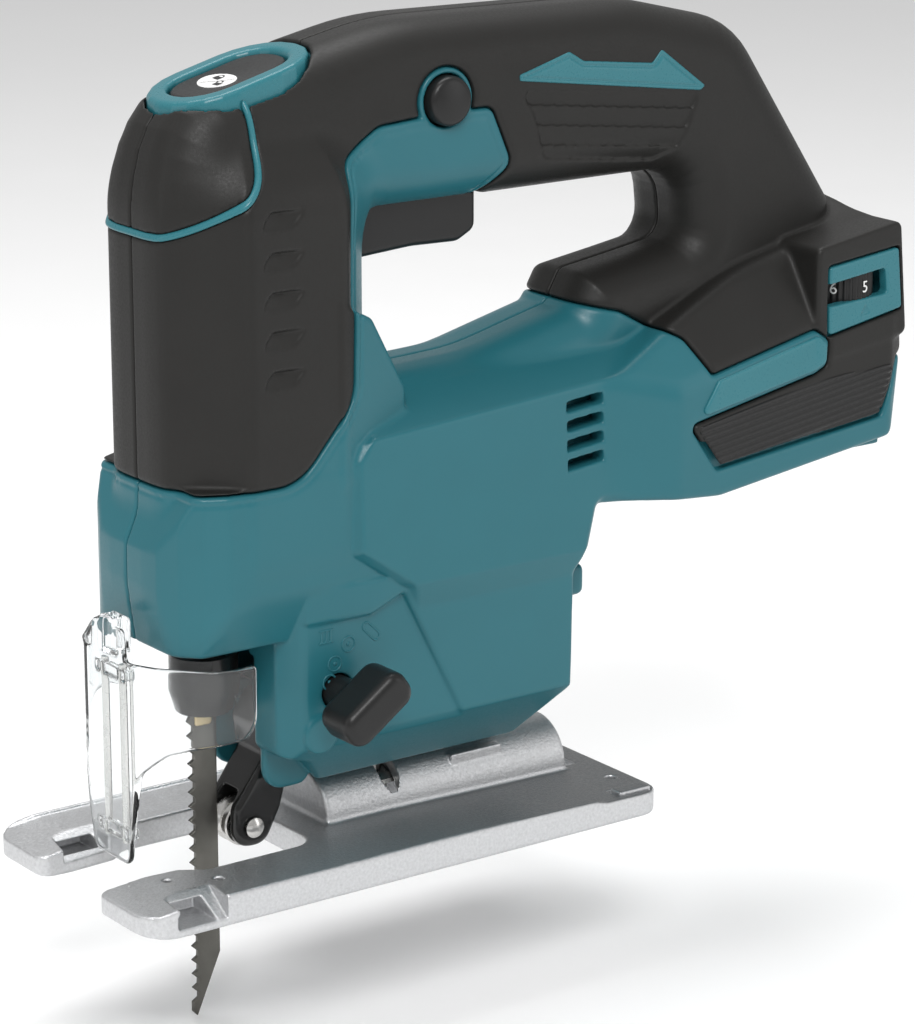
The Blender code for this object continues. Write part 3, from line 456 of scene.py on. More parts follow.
blade_steel = finish("blade_steel", (0.13, 0.126, 0.115), 0.34, 1.0, mottle=0.3, patch=160,
                     grain=300, stretch=(1, 1, 0.15))
bronze = finish("bronze", (0.62, 0.50, 0.30), 0.35, 1.0, mottle=0.15)
copper = finish("copper", (0.62, 0.28, 0.14), 0.35, 1.0, mottle=0.2, grain=2500)
# the sole's cast aluminium carries painted shade on its flat top
cast = finish("cast_aluminium", (0.58, 0.585, 0.595), 0.40, 0.9, mottle=0.22, patch=1300,
              grain=1500, depth=0.00016, strength=1.0, spread=0.12, layer=sole_painted_shade)
aluminium = finish("aluminium", (0.6, 0.6, 0.61), 0.45, 0.9, grain=900)
clear = finish("clear_plastic", (0.93, 0.95, 0.955), 0.04, mottle=0.01, grain=200, depth=0.00001,
               strength=0.05, spread=0.02, transmission=1.0, ior=1.45)
white = finish("white_print", (0.75, 0.75, 0.74), 0.4, mottle=0.02)


# ---------------------------------------------------------------- the moulded body
def form(x, y, z):
    """The outer form of the whole tool, before the halves and the soft grip are parted."""
    wide = np.abs(y)
    ring = np.maximum(region(x, z, HANDLE_LOOP), -region(x, z, FINGER_HOLE))
    loop = prism(ring, y, -HANDLE_HALF, HANDLE_HALF, 12.5)
    column = prism(region(x, y, COLUMN_PLAN), z, 70, 184, 16)
    gusset = common(region(x, z, GUSSET), (wide + 0.28 * (x + 12) - 26.8) * 0.96, 1.0)
    nose = common(common(region(x, y, NOSE_PLAN), region(x, z, NOSE_SIDE), 1.0),
                  region(y, z, NOSE_END), 1.0)
    climb = 0.07 * (x - 40) * np.clip((z - 85) / 25, 0, 1)
    body = chamfered(region(x, z, BODY_SIDE), region(y, z - climb, BODY_END), 2.0)
    lower = common(common(region(x, z, LOWER_SIDE), region(y, z, LOWER_END), 0.8),
                   region(x, y, LOWER_PLAN), 0.6)
    panel = np.maximum(region(x, z, LEVER_PANEL), 25.4 - wide)
    lower = chamfered(lower, -panel, 0.9)
    facet = (z - 92.2 - 0.22 * x - 1.6 * (34 - wide)) / 1.9
    crown = (z - 111.4 - 0.22 * x - 0.27 * (22 - wide)) / 1.06
    block = common(region(x, z, BLOCK_SIDE), common(facet, crown, 2.0), 2.0)
    block = common(block, region(x, y, BLOCK_PLAN), 2.0)
    dial_seat = prism(region(x, z, DIAL_SEAT), y, -33.8, -12, 1.2)
    block = join(block, dial_seat, 1.5)
    lug = prism(region(x, z, LUG), wide, 10.2, 12.6, 0.8)
    clip = rounded_brick(x, y, z, (54, -21, 57.5), (65.5, -14.5, 66), 2)
    whole = join(join(loop, column, 8.0), gusset, 1.0)
    lump = join(nose, join(body, join(join(lower, lug, 0.8), clip, 0.8), 0.3), 0.4)
    lump = join(lump, block, 1.5)
    return join(whole, lump, 1.2)


def grip_zone(x, z):
    """Where the soft grip covers the shell, in the side plane."""
    return common(region(x, z, GRIP_SIDE), -disc(x, z, (LOCK_X, LOCK_Z), 8.2), 0.6)


def vents(x, y, z):
    """Four raked slots in each flank."""
    best = None
    for index in range(4):
        low = 94 + 5.0 * index
        slot = region(x, z, [(54, low), (65.2, low + 1.2), (65.2, low + 4.0), (54, low + 2.9)])
        best = slot if best is None else np.minimum(best, slot)
    return np.maximum(best, 20 - np.abs(y))


def openings(x, y, z):
    """Everything that passes right through the shell."""
    ways = [
        prism(disc(x, y, (PLUNGER_X, 0), 11.5), z, 50, 71),
        brick(x, y, z, (-2.5, -9.6, 146), (41.5, 9.6, 172)),
        prism(disc(x, z, (LOCK_X, LOCK_Z), 6.6), y, -30, 30),
        prism(region(x, z, [(-40, 18), (-12, 18), (-12, 44), (-22, 56), (-40, 56)]), y, -10, 10),
        disc(y, z, (0, TILT_Z), SADDLE_RADIUS + 0.8),
        brick(x, y, z, (76, -29, 70), (180, 29, 98)),
        prism(disc(x, z, (LEVER_X, LEVER_Z), 4.6), y, -40, 9),
        prism(disc(x, y, (-51, -8), 2.4), z, 55, 72),
        prism(disc(y, z, (9, 54), 2.6), x, 40, 80),
        brick(x, y, z, (135.6, -40, 124.8), (157.4, -14, 136.6)),
        prism(oval(x, y, 20.4, 15.3), z, 187, 230),
        prism(disc(x, y, (BOLT_X, 0), 2.8), z, 10, 35),
    ]
    best = ways[0]
    for way in ways[1:]:
        best = np.minimum(best, way)
    return best


def oval(x, y, half_length, half_width):
    """A region round the switch on the front of the handle."""
    corners = ((-1, -1), (1, -1), (1, 1), (-1, 1))
    return region(x, y, [(SWITCH_X + a * half_length, b * half_width, half_width - 1)
                         for a, b in corners])


SCREWS = [(-49.5, 92, 20), (-13, 181, 10), (62, 187, 10), (114, 178, 10), (84, 106, 20),
          (49, 44, 18), (146, 109, 24)]


def screw_ways(x, y, z):
    """The wells of the housing screws, in the right half."""
    best = None
    for sx, sz, seat in SCREWS:
        way = prism(disc(x, z, (sx, sz), 4.0), y, seat - 2.6, 60)
        best = way if best is None else np.minimum(best, way)
    return best


def shell_field(x, y, z):
    """The hard shell: flush outside the grip, set back beneath it, hollow inside."""
    outer = form(x, y, z)
    zone = grip_zone(x, z)
    proud = common(outer, -zone + 0.15, 1.2)
    rim = np.abs(zone - 2.0) - 0.3
    proud = cut(proud, np.maximum(np.maximum(rim, -outer - 0.35), x - 45), 0.3)
    seam = np.maximum(np.abs(y) - 0.25, -outer - 0.5)
    proud = cut(proud, seam, 0.4)
    under = outer + SKIN + SKIN_GAP
    bolt = prism(disc(x, y, (BOLT_X, 0), 7), z, 20.9, 36)
    solid = join(proud, under)
    solid = cut(solid, outer + WALL + SKIN)
    cheeks = np.minimum(prism(disc(x, z, (FORK_X, FORK_Z), 5), np.abs(y), 10.4, 26), bolt)
    roof = brick(x, y, z, (78, -30, 98), (160, 30, 100.5))
    rails = brick(x, np.abs(y), z, (92, 25.5, 85.5), (158, 30, 88.5), 0.5)
    baffle = np.maximum(brick(x, np.abs(y), z, (52, 19, 88), (72, 20.5, 122)), outer + 1)
    roof = np.minimum(roof, baffle)
    solid = np.minimum(np.minimum(solid, cheeks), np.minimum(np.maximum(roof, outer + 1), rails))
    return cut(cut(solid, openings(x, y, z), 0.5), vents(x, y, z), 0.2)


def relief(x, z):
    """How far the flank of the grip is pressed in: the finger notches and the ribbed pad."""
    depth = 0
    for index in range(5):
        at_x, at_z = -33.4, 170.3 - 9.6 * index
        notch = region(x, z, [(at_x - 3.4, at_z - 6.5, 0), (at_x - 2.2, at_z - 2.6, 2), (at_x, at_z, 1),
                              (at_x + 9.6, at_z, 0), (at_x + 6, at_z - 4, 3)])
        fade = np.clip(1 - (at_z - z) / 4.5, 0, 1) ** 0.7 * np.clip((at_x + 9 - x) / 7, 0, 1) ** 0.5
        depth = depth + 1.6 * fade * np.clip(-notch / 0.3, 0, 1)
    pad = region(x, z, [(46, 191, 2), (104, 185, 2), (98, 170.5, 3), (91, 167.5, 3), (54, 172, 3),
                        (51, 183, 2)])
    band = ((186.3 - 0.115 * (x - 50) - z) % 5.0) / 5.0
    return depth + (0.3 + 0.8 * band) * np.clip(-pad / 0.5, 0, 1)


def eased(points, rounds=3):
    """An open line with its corners cut down step by step."""
    for _ in range(rounds):
        cuts = [points[0]]
        for (a, b), (c, d) in zip(points, points[1:]):
            cuts += [(0.75 * a + 0.25 * c, 0.75 * b + 0.25 * d),
                     (0.25 * a + 0.75 * c, 0.25 * b + 0.75 * d)]
        points = [*cuts, points[-1]]
    return points


def grip_field(x, y, z):
    """The soft overmould, with its notches, ribbed pads and piping seat."""
    body = form(x, y, z)
    outer = body + relief(x, z) * np.clip((np.abs(y) - 9) / 2, 0, 1)
    skin = common(outer, grip_zone(x, z) + 0.15, 1.4)
    skin = common(skin, -(body + SKIN))
    skin = cut(skin, np.maximum(path(x, z, eased(PIPING)) - 0.9, -outer - 0.7), 0.3)
    window = region(x, z, [(161.8, 123, 1), (160.2, 140.3, 1), (135.2, 137.6, 1),
                           (135.2, 118.4, 1)])
    ways = [
        brick(x, y, z, (-2.5, -9.6, 146), (41.5, 9.6, 172)),
        prism(oval(x, y, 20.4, 15.3), z, 183, 230),
        np.maximum(window, np.maximum(y + 20, -outer - 3)),
    ]
    for way in ways:
        skin = cut(skin, way, 0.5)
    wells = np.maximum(screw_ways(x, y, z) - 0.5, 2 - y)
    return cut(skin, wells, 0.5)


def halves(name, field, material, low, high, pitch, most):
    """Meshes a field as a left and a right half."""
    for side, word in ((-1, "left"), (1, "right")):
        def half(x, y, z, side=side):
            solid = field(x, y, z)
            if side > 0:
                solid = cut(solid, screw_ways(x, y, z), 0.6)
            return np.maximum(solid, SPLIT - side * y)
        ends = sorted((0, side * high[1]))
        mesh = surface(name + "_" + word, half, (low[0], ends[0], low[2]),
                       (high[0], ends[1], high[2]), pitch, most=most)
        new_object(name + "_" + word + "_skin", mesh, material, "frame", (name + "_" + word,))


FINE = 0.45
low_all, high_all = (-62, -36, 18), (166, 36, 212)
halves("housing", shell_field, teal, low_all, high_all, FINE, 190000)
halves("grip", grip_field, rubber, (-62, -36, 98), high_all, FINE, 170000)


# ---------------------------------------------------------------- trims that follow the body
def patch(name, outline, side, rise, sink, material, slot, nodes, low, high, edge=0.5, lines=None,
          pitch=0.3):
    """A plate that follows the body's surface, from sink below it to rise above it."""
    def field(x, y, z):
        outer = form(x, y, z)
        plate = np.maximum(outer - rise, -outer - sink)
        plate = common(plate, outline(x, z), edge)
        if lines is not None:
            plate = cut(plate, np.maximum(lines(x, z), -outer + rise - 0.5), 0.3)
        return np.maximum(plate, 6 - side * y)
    ends = sorted((side * 6, side * 37))
    mesh = surface(name, field, (low[0], ends[0], low[1]), (high[0], ends[1], high[1]), pitch, 2)
    return new_object(name, mesh, material, "frame", nodes)


ARROW = [(46, 192.6, 0.4), (46, 194.2, 0.3), (61.5, 198.6, 0.8), (66, 195.9, 1), (88, 193.4, 1),
         (91, 196.6, 0.8), (105.5, 186, 0.3), (104, 184.8, 0.3)]
LABEL = [(92, 103.4, 1.2), (131, 110.4, 1.5), (134.4, 112, 1.2), (134.6, 117.4, 1.2),
         (131.6, 119.6, 1.2), (98, 112.4, 1.2)]
RIB_PLATE = [(91.2, 100.6, 1), (131, 107.8, 1.5), (159.6, 108.6, 1.5), (154, 95.4, 1.5),
             (99.2, 89.8, 1)]


def rib_lines(x, z):
    """Fine ribs along the plate, above and below its step."""
    along = z - 0.14 * (x - 98)
    return 0.42 - np.abs((along - 89) % 1.7 - 0.85)


for side, word in ((-1, "left"), (1, "right")):
    patch("arrow_" + word, lambda x, z: region(x, z, ARROW), side, 0.45, 0.6, teal_gloss,
          "teal_plastic", ("handle_trim_" + word,), (44, 182), (108, 201), 0.5,
          lambda x, z: np.abs(region(x, z, ARROW) + 1.1) - 0.18)
    patch("band_" + word, lambda x, z: region(x, z, LABEL), side, 0.7, 0.6, teal_gloss,
          "teal_plastic", ("label_" + word,), (88, 100), (138, 123), 0.6)
    patch("rib_panel_" + word, lambda x, z: region(x, z, RIB_PLATE), side, 0.45, 0.6, black,
          "black_plastic", ("rib_plate_" + word,), (86, 86), (162, 114), 0.6, rib_lines)


def mark_lines(x, z):
    """Generic marks beside the selector: bars, rings, a pill and a nought."""
    marks = [np.abs(disc(x, z, place, 1.9)) - 0.28
             for place in ((-11.8, 59.9), (-15.9, 55.6), (-17.4, 51.0), (-21.6, 40.4))]
    marks += [disc(x, z, place, 0.6) for place in ((-11.8, 59.9), (-15.9, 55.6), (-17.4, 51.0))]
    marks += [path(x, z, [(at, 61.6), (at, 64.4)]) - 0.3 for at in (-19.7, -18.4, -17.1)]
    marks.append(path(x, z, [(-20.4, 61.4), (-16.4, 61.4)]) - 0.25)
    marks.append(path(x, z, [(-20.4, 64.6), (-16.4, 64.6)]) - 0.25)
    marks.append(np.abs(path(x, z, [(-6.4, 63.4), (-3.6, 60.6)]) - 1.1) - 0.28)
    best = marks[0]
    for mark in marks[1:]:
        best = np.minimum(best, mark)
    return best


patch("selector_marks", mark_lines, -1, 0.28, 0.4, teal, "teal_plastic", (), (-25, 37), (-1, 67),
      0.1, None, 0.22)


def piping_field(x, y, z):
    """The thin bright bead that rings the cap at the front of the handle."""
    outer = form(x, y, z)
    bead = np.hypot(path(x, z, eased(PIPING)), outer + 0.2) - 0.8
    return np.maximum(bead, -oval(x, y, 20.2, 15.1))


mesh = surface("piping", piping_field, (-60, -30, 158), (-26, 30, 206), 0.25, 3)
new_object("cap_piping", mesh, teal_gloss, "frame", ())


# ---------------------------------------------------------------- switches on the handle
def tilted(x, z, height):
    """Distance above the leaning plane of the front switch, at a height over its middle."""
    return (z - height) * math.cos(SWITCH_LEAN) - (x - SWITCH_X) * math.sin(SWITCH_LEAN)


def pressed(x, y, z):
    """Distance above the pressed face of the front switch, which is dished a little."""
    return tilted(x, z, SWITCH_TOP) + 0.5 * np.exp(-((x - SWITCH_X) ** 2 + y ** 2) / 60)


def ring_field(x, y, z):
    """The bright surround of the front switch, standing a little out of the dome."""
    wall = np.maximum(oval(x, y, 19.9, 14.8), -oval(x, y, 14.9, 9.9))
    return common(np.maximum(wall, 187.5 - z), tilted(x, z, 199.8), 1.6)


mesh = surface("ring", ring_field, (-49, -16, 186), (-7, 16, 208), 0.22, 2)
new_object("switch_ring", mesh, teal_gloss, "frame", ("power_ring",))


def button_field(x, y, z):
    """The button of the front switch."""
    return common(np.maximum(oval(x, y, 14.5, 9.5), 190.5 - z), pressed(x, y, z), 1.2)


mesh = surface("button", button_field, (-44, -11, 189), (-12, 11, 206), 0.3, 2)
new_object("power_face", mesh, black, "power", ("power_button",))


def icon_field(x, y, z):
    """A white disc on the switch with a padlock and an open padlock cut out of it."""
    across, along = y / 1.3, (x - SWITCH_X + 3) / math.cos(SWITCH_LEAN)
    face = np.hypot(across, along) - 4.5
    best = path(across, along, [(-2.6, 2.6), (2.6, -2.6)]) - 0.22
    for at_y, at_x, lift in ((1.6, 1.5, 0.0), (-1.7, -1.4, 0.5)):
        body = np.maximum(np.abs(across - at_y) - 1.15, np.abs(along - at_x) - 0.85)
        loop = np.abs(np.hypot(across - at_y - lift, along - at_x - 1.0 - lift * 0.4) - 0.75) - 0.2
        best = np.minimum(best, np.minimum(body, np.maximum(loop, at_x + 0.8 - along)))
    height = pressed(x, y, z)
    return np.maximum(np.maximum(face, -best), np.maximum(height - 0.12, -height - 0.3))


mesh = surface("icon", icon_field, (-36, -7, 196), (-25, 7, 202), 0.14, 1)
new_object("switch_icon", mesh, white, "power", ())


def lock_field(x, y, z):
    """The cross-bolt lock button with its domed ends."""
    pin = disc(x, z, (LOCK_X, LOCK_Z), 6.2)
    ball = np.sqrt((x - LOCK_X) ** 2 + (y - 4) ** 2 + (z - LOCK_Z) ** 2) - 24.6
    return common(np.maximum(pin, y - 17.8), ball, 1.5)


mesh = surface("lock", lock_field, (17, -21, 183), (31, 19, 197), 0.3, 2)
new_object("lock_bolt", mesh, black, "lock", ("lock_button",))


def trigger_field(x, y, z):
    """The trigger: a long finger plate with a hollowed front face."""
    side = [(-1.6, 170.5, 1), (-1.6, 156, 3), (3, 151.5, 4), (20, 152.6, 30), (34, 152.2, 4),
            (39.4, 155, 3), (39.4, 165.5, 1)]
    return prism(region(x, z, side), y, -9, 9, 2.2)


mesh = surface("trigger", trigger_field, (-3, -10, 150), (41, 10, 172), 0.35, 2)
new_object("trigger_plate", mesh, black, "trigger", ("trigger",))


# ---------------------------------------------------------------- sole
def base_field(x, y, z):
    """The die-cast sole with its prongs, side bands, pockets and tilt saddle."""
    length, width = SOLE_HALF_LENGTH, SOLE_HALF_WIDTH
    plan = [(-length, -width, 8), (length, -width, 6), (length, width, 6), (-length, width, 8),
            (-length, 13.5, 3), (-56, 15, 0), (-50, 19, 4), (-18, 19, 6), (-18, -19, 6),
            (-50, -19, 4), (-56, -15, 0), (-length, -13.5, 3)]
    flat = region(x, y, plan)
    wide = np.abs(y)
    plate = prism(flat, z, 0, 8.4, 1.3)
    tip = np.clip((-65 - x) / 13.2, 0, 1)
    rim = 0.9 * np.clip((wide - 36.6) / 0.6, 0, 1) * np.clip((60 - x) / 4, 0, 1)
    top = 7.6 - 1.6 * tip - 1.2 * np.clip((x - 10) / 60, 0, 1)
    plate = common(plate, z - (top + rim * (1 - tip)), 0.5)
    plate = common(plate, 1.2 * tip ** 2 - z, 0.6)
    saddle = common(disc(y, z, (0, TILT_Z), SADDLE_RADIUS), np.abs(x - 29) - 38, 1.2)
    whole = join(plate, np.maximum(saddle, 2 - z), 1.6)
    ways = [
        common(disc(y, z, (0, TILT_Z), 8), np.abs(x - BOLT_X) - 9),
        brick(x, y, z, (BOLT_X - 9, -8, -2), (BOLT_X + 9, 8, TILT_Z)),
        prism(np.hypot(x - BOLT_X, np.maximum(wide - 7.9, 0)) - 2.8, z, TILT_Z, 22),
        common(disc(y, z, (0, TILT_Z), 9), np.abs(x - 67) - 5),
        brick(x, np.abs(y), z, (-48, 24, -2), (66, 33, 1.0), 0.4),
        np.maximum(region(x, -y, [(-68, 27.4), (-55, 27.4), (-56.5, 42), (-70, 42)]),
                   (-y - 27.4) * -0.5 + 7.8 - z),
        brick(x, -y, z, (-70, 27, 2.4), (-59, 42, 6), 0.3),
        brick(x, y, z, (-69, 31, 2.4), (-58.5, 42, 6), 0.3),
        brick(x, -y, z, (-71, 10, 2.2), (-62, 19, 5.6), 0.3),
        brick(x, y, z, (-70, 17, 2.4), (-59, 27, 6), 0.3),
        np.maximum(region(x, y, [(-69, 25), (-57, 25), (-57, 10), (-72, 10)]),
                   7.8 - 0.42 * (25 - y) - z),
        prism(disc(x, np.abs(y), (-51, 26), 1.2), z, 3, 12),
        prism(disc(x, np.abs(y), (73, 23), 1.6), z, -1, 12),
        prism(disc(x, y, (-62, -20), 1.1), z, 3, 12),
    ]
    for way in ways:
        whole = cut(whole, way, 0.3)
    pointer = rounded_brick(x, y, z, (31, -9.5, 12), (47, -4, 17.4), 0.3)
    insert = brick(x, y, z, (66, -36, 5.2), (76, -31.5, 7.3), 0.3)
    seam = brick(x, y, z, (65.2, -36.6, 5.4), (76.6, -30.9, 9), 0.3)
    whole = cut(whole, seam, 0.2)
    return join(join(whole, pointer, 0.2), insert, 0.1)


mesh = surface("base", base_field, (-79, -39, -0.5), (79, 39, 20), 0.35, 1, 190000)
new_object("sole", mesh, cast, "base", ("base_plate",))


# ---------------------------------------------------------------- guard, blade, clamp, fork
def guard_field(x, y, z):
    """The clear guard: a thin wrap round the nose with a front channel and rounded flaps."""
    outer = region(x, y, [(-38, -29.4, 0), (-52, -29.4, 10), (-62.6, -17, 3), (-65.6, -11, 2),
                          (-65.6, 11, 2), (-62.6, 17, 3), (-52, 29.4, 10), (-38, 29.4, 0)])
    inner = region(x, y, [(-30, -28, 0), (-51.3, -28, 9), (-61.2, -16.4, 3), (-64.2, -10.4, 2),
                          (-64.2, 10.4, 2), (-61.2, 16.4, 3), (-51.3, 28, 9), (-30, 28, 0)])
    front = region(y, z, [(-8.5, 8.3, 3), (8.5, 8.3, 3), (10.8, 21, 3), (12.5, 33, 4), (19, 39, 5),
                          (31, 43, 4), (31, 61, 0), (8, 61, 1), (7, 69, 2), (-7, 69, 2),
                          (-8, 61, 1), (-31, 61, 0), (-31, 43, 4), (-19, 39, 5), (-12.5, 33, 4),
                          (-10.8, 21, 3)])
    wall = common(common(outer, -inner, 0.4), front, 0.6)
    flap = region(x, z, [(-75, 41, 0), (-41, 41, 7.5), (-41, 61.6, 1.5), (-75, 61.6, 0)])
    wall = common(wall, join(x + 58.5, flap, 5.0), 0.5)
    for height in (15.5, 56.5):
        shelf = brick(x, y, z, (-64.6, -6.8, height - 1.3), (-61.4, 6.8, height + 1.3), 0.4)
        wall = join(wall, shelf, 0.5)
    hook = rounded_brick(x, y, z, (-65.6, -4, 61), (-60.5, 4, 70.5), 1.2)
    wall = join(wall, hook, 0.5)
    wires = disc(x, np.abs(y), (WIRE_X, WIRE_Y), 1.25)
    return cut(wall, np.maximum(wires, 12 - z))


mesh = surface("guard", guard_field, (-67, -31, 7), (-37, 31, 70), 0.35, 2, 190000)
new_object("chip_guard", mesh, clear, "guard", ("dust_guard",))


def blade_field(x, y, z):
    """The saw blade: raked teeth with a little set in front, a plain back and a shank."""
    shank = PLUNGER_X - 3.0
    outline = [(BLADE_BACK, BLADE_END), (shank, BLADE_END), (shank, 42.5), (BLADE_FRONT, 39)]
    for index in reversed(range(TEETH)):
        low = FIRST_TOOTH + TOOTH_PITCH * index
        outline += [(BLADE_FRONT + 1.6, low + 2.3), (BLADE_FRONT + 1.55, low + 0.9),
                    (BLADE_FRONT, low)]
    outline += [(BLADE_FRONT - 0.1, -38.6), (BLADE_FRONT + 1.2, -40), (BLADE_BACK, -24)]
    edge = np.clip((BLADE_FRONT + 1.5 - x) / 1.5, 0, 1)
    bend = 0.12 * np.sin((z - FIRST_TOOTH) * math.pi / TOOTH_PITCH) * edge
    return prism(region(x, z, outline), y - bend, -0.6, 0.6, 0.08)


def shank_field(x, y, z):
    """The gilt tang that shows between the clamp and the first tooth."""
    return prism(region(x, z, [(-41.2, 37.6, 0.8), (-36.4, 37.6, 0.8), (-36.4, 43, 0), (-41.2, 43, 0)]),
                 y, -0.95, 0.95, 0.2)


mesh = surface("tang", shank_field, (-43, -2, 36), (-35, 2, 44), 0.15, 1)
new_object("blade_tang", mesh, bronze, "plunger", ())
mesh = surface("blade", blade_field, (-44, -1, -41), (-34, 1, 57), 0.16, 1, 120000)
new_object("saw_blade", mesh, blade_steel, "plunger", ("blade",))


def fork_field(x, y, z):
    """The forged roller fork, an S in side view and split round the roller."""
    side = region(x, z, [(-16.5, 41, 2), (-22, 44, 3), (-26.5, 36, 3), (-24.5, 28, 3),
                         (-33.5, 15.5, 5), (-33.8, 4.8, 5), (-24.5, 4.4, 5), (-19.8, 13.5, 5),
                         (-15.8, 28, 5)])
    fork = prism(side, y, -7, 7, 1.8)
    fork = cut(fork, brick(x, y, z, (-50, -3.6, -5), (-10, 3.6, 19), 1), 0.8)
    return cut(fork, disc(x, z, (ROLLER_X, ROLLER_Z), 2.3), 0.4)


mesh = surface("fork", fork_field, (-35, -8, 3), (-14, 8, 45), 0.3, 2)
new_object("blade_fork", mesh, gloss_black, "fork", ("roller_fork",))


def knob_field(x, y, z):
    """The knob of the orbital selector: a thick bar with bevelled edges, on its shaft."""
    cosine, sine = math.cos(LEVER_TURN), math.sin(LEVER_TURN)
    along = (x - LEVER_X) * cosine + (z - LEVER_Z) * sine
    across = (z - LEVER_Z) * cosine - (x - LEVER_X) * sine
    bar = prism(np.abs(along) - 10.5, across, -5.0, 5.0, 4.0)
    knob = prism(bar, y, -44, -31, 2.4)
    return join(knob, prism(disc(x, z, (LEVER_X, LEVER_Z), 4.2), y, -33, 7.5))


mesh = surface("knob", knob_field, (-29, -45, 34), (1, 8, 62), 0.35, 2)
new_object("selector", mesh, black, "lever", ("orbital_lever",))

collar = lathe([(5.6, 57), (8.2, 57), (8.7, 56.4), (8.7, 47), (8.4, 46), (7.2, 41.9), (6.8, 41.5),
                (5.6, 41.5), (5.6, 57)], (PLUNGER_X, 0, 0), "Z")
new_object("blade_collar", collar, gloss_black, "collar", ("clamp_collar",))

roller = lathe([(2.3, 3.2), (5.6, 3.2), (6, 2.9), (6, 1.3), (5.0, 0.7), (5.0, -0.7), (6, -1.3),
                (6, -2.9), (5.6, -3.2), (2.3, -3.2), (2.3, 3.2)], (ROLLER_X, 0, ROLLER_Z), "Y")
new_object("blade_roller", roller, pin_steel, "roller", ("roller",))
pin = lathe([(0, 8.2), (1.2, 8.1), (2.0, 7.4), (2.0, -7.2), (2.6, -7.4), (2.6, -7.8), (1.6, -8.5),
             (0, -8.8)][::-1], (ROLLER_X, 0, ROLLER_Z), "Y")
new_object("roller_axle", pin, pin_steel, "roller", ("roller_pin",))


# ---------------------------------------------------------------- speed dial
def dial_field(x, y, z):
    """The thumb wheel with its fine knurl."""
    turn = np.arctan2(y - DIAL_Y, x - DIAL_X)
    wheel = disc(x, y, (DIAL_X, DIAL_Y), 8.6) + 0.25 * np.cos(turn * 34)
    return prism(wheel, z, 125.8, 135.6, 0.5)


mesh = surface("dial", dial_field, (136, -35, 125), (158, -14, 137), 0.25, 1)
new_object("thumb_wheel", mesh, black, "dial", ("speed_dial",))


def bezel_field(x, y, z):
    """The window frame round the thumb wheel."""
    outer = region(x, z, [(135.8, 119, 1), (161.3, 123.4, 1), (159.7, 139.8, 1), (135.6, 137.1, 1)])
    hole = region(x, z, [(134, 126.6, 0), (155.9, 127.9, 1), (155.1, 134.8, 1), (134, 132.4, 0)])
    frame_ring = np.maximum(outer, -hole)
    mark = region(x, z, [(146.8, 122.9), (149.9, 123.4), (148.4, 125.6)])
    ring = prism(frame_ring, y, -33.9, -30.5, 0.5)
    return cut(ring, np.maximum(mark, y + 33.5), 0.2)


mesh = surface("bezel", bezel_field, (132, -36, 118), (162, -30, 148), 0.3, 1)
new_object("dial_window", mesh, teal_gloss, "frame", ("dial_bezel",))


def numeral(text, size, place, turn, body, material):
    """A raised numeral, standing on a surface."""
    curve = bpy.data.curves.new("numeral", "FONT")
    curve.body = text
    curve.size = size * MM
    curve.extrude = 0.06 * MM
    curve.align_x = "CENTER"
    curve.align_y = "CENTER"
    holder = bpy.data.objects.new("numeral_" + text, curve)
    bpy.context.scene.collection.objects.link(holder)
    evaluated = holder.evaluated_get(bpy.context.evaluated_depsgraph_get())
    mesh = bpy.data.meshes.new_from_object(evaluated)
    bpy.data.objects.remove(holder)
    mesh.transform(Matrix.Translation(Vector(place) * MM) @ turn)
    mesh.materials.clear()
    mesh.materials.append(material)
    return new_object("numeral_" + text, mesh, material, body)


for index in range(NUMERALS):
    spin = Matrix.Rotation(math.radians(NUMERAL_STEP * (4 - index) + 8), 4, "Z")
    upright = Matrix.Rotation(math.pi / 2, 4, "X")
    place = Vector((DIAL_X, DIAL_Y, 130.4)) + spin.to_3x3() @ Vector((0, -8.85, 0))
    numeral(str(index + 1), 4.4, place, spin @ upright, "dial", white)


# ---------------------------------------------------------------- finishes for the CAD nodes
def dress(material, *names):
    """Gives CAD nodes that stay in view a better finish."""
    for name in names:
        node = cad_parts[name]
        node.data.materials.clear()
        node.data.materials.append(material)


dress(steel, "base_lock_shoe", "base_lock_bolt", "gear_bearing", "motor_rotor", "hex_key",
      "motor_bearing_front", "motor_bearing_rear", "terminal_left", "terminal_right", "crank_gear",
      *["housing_screw_%d" % (index + 1) for index in range(len(SCREWS))])
dress(pin_steel, "guard_wire_left", "guard_wire_right", "plunger", "fork_pivot_pin")
dress(bronze, "clamp_core", "lower_bush", "upper_bush")
dress(copper, "winding_front", "winding_rear")
dress(grey, "counterweight", "motor_stator", "controller")
dress(aluminium, "gear_frame")
dress(dark, "motor_fan", "switch_body", "terminal_block")
dress(white, "work_light")


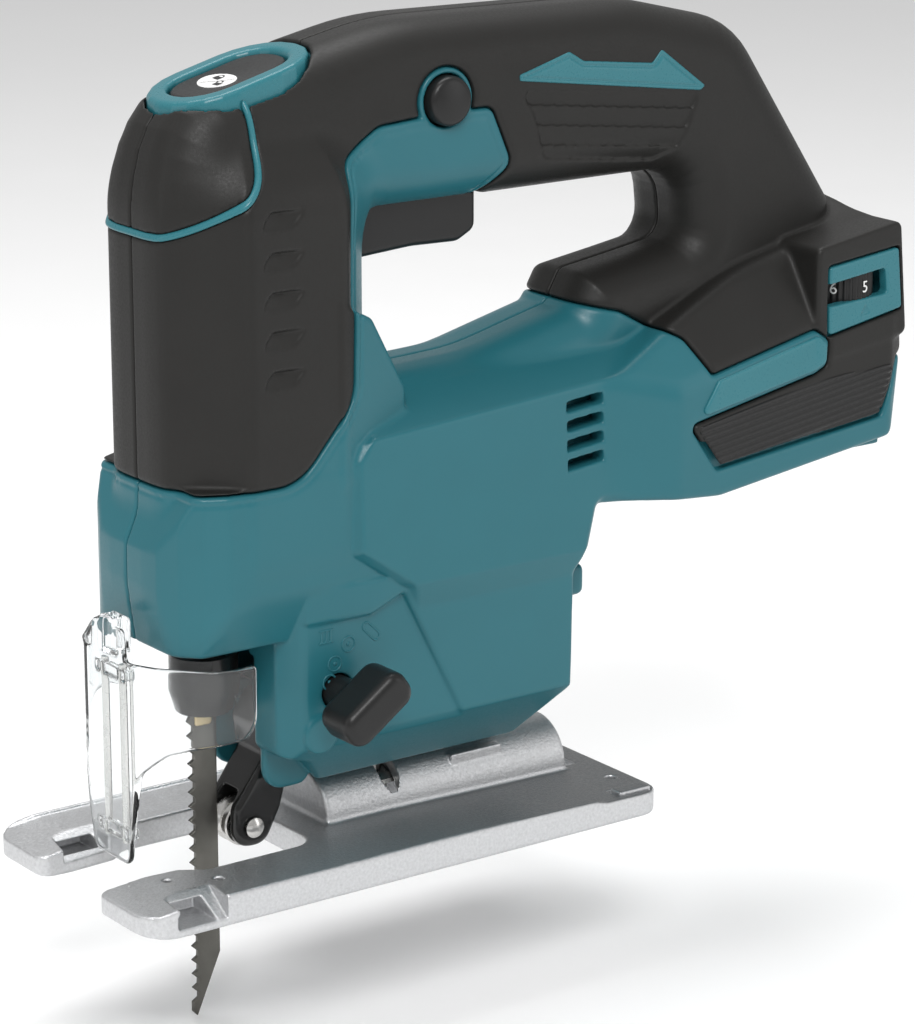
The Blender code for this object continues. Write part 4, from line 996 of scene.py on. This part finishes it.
# ---------------------------------------------------------------- floor, light and camera
def floor():
    """A plain pale floor under the blade's tip."""
    half = 6.0
    low = CAD_BOX[0][2] - 0.0005
    mesh = bpy.data.meshes.new("floor")
    corners = [(-half, -half, low), (half, -half, low), (half, half, low), (-half, half, low)]
    mesh.from_pydata(corners, [], [(0, 1, 2, 3)])
    mesh.materials.append(finish("floor", (0.95, 0.95, 0.95), 0.7, mottle=0.01, patch=2, grain=20,
                                 strength=0.0))
    piece = bpy.data.objects.new("floor", mesh)
    bpy.context.scene.collection.objects.link(piece)


def area_light(name, place, target, size, power):
    """A soft box that faces a point."""
    lamp = bpy.data.lights.new(name, "AREA")
    lamp.shape = "RECTANGLE"
    lamp.size, lamp.size_y = size
    lamp.energy = power
    holder = bpy.data.objects.new(name, lamp)
    holder.location = place
    aim = Vector(target) - Vector(place)
    holder.rotation_euler = aim.to_track_quat("-Z", "Y").to_euler()
    bpy.context.scene.collection.objects.link(holder)


def studio():
    """Soft light from both sides and above, and a camera at the object's left front."""
    floor()
    middle = (0.04, 0, 0.1)
    area_light("key", (-0.65, -1.0, 1.3), middle, (0.7, 0.7), 17)
    area_light("side", (0.9, -1.1, 0.5), middle, (0.5, 1.0), 2.5)
    area_light("left", (-1.2, 0.1, 0.5), middle, (0.4, 1.0), 1.5)
    area_light("top", (0.1, 0.3, 1.3), middle, (1.0, 0.6), 10)
    world = bpy.data.worlds.new("studio")
    world.use_nodes = True
    sky = world.node_tree.nodes["Background"]
    sky.inputs["Color"].default_value = (1, 1, 1, 1)
    sky.inputs["Strength"].default_value = 0.52
    bpy.context.scene.world = world
    bpy.context.scene.view_settings.view_transform = "Standard"
    camera = bpy.data.cameras.new("camera")
    camera.sensor_width = 36
    camera.lens = 129.6
    camera.clip_start, camera.clip_end = 0.01, 50
    holder = bpy.data.objects.new("camera", camera)
    azimuth, elevation = math.radians(-35.957), math.radians(15.865)
    place = (-0.497, -0.740, 0.339)
    right = Vector((math.cos(azimuth), math.sin(azimuth), 0))
    back = Vector((math.sin(azimuth) * math.cos(elevation),
                   -math.cos(azimuth) * math.cos(elevation), math.sin(elevation)))
    turn = Matrix((right, back.cross(right), back)).transposed()
    holder.matrix_world = Matrix.Translation(place) @ turn.to_4x4()
    bpy.context.scene.collection.objects.link(holder)
    bpy.context.scene.camera = holder


studio()
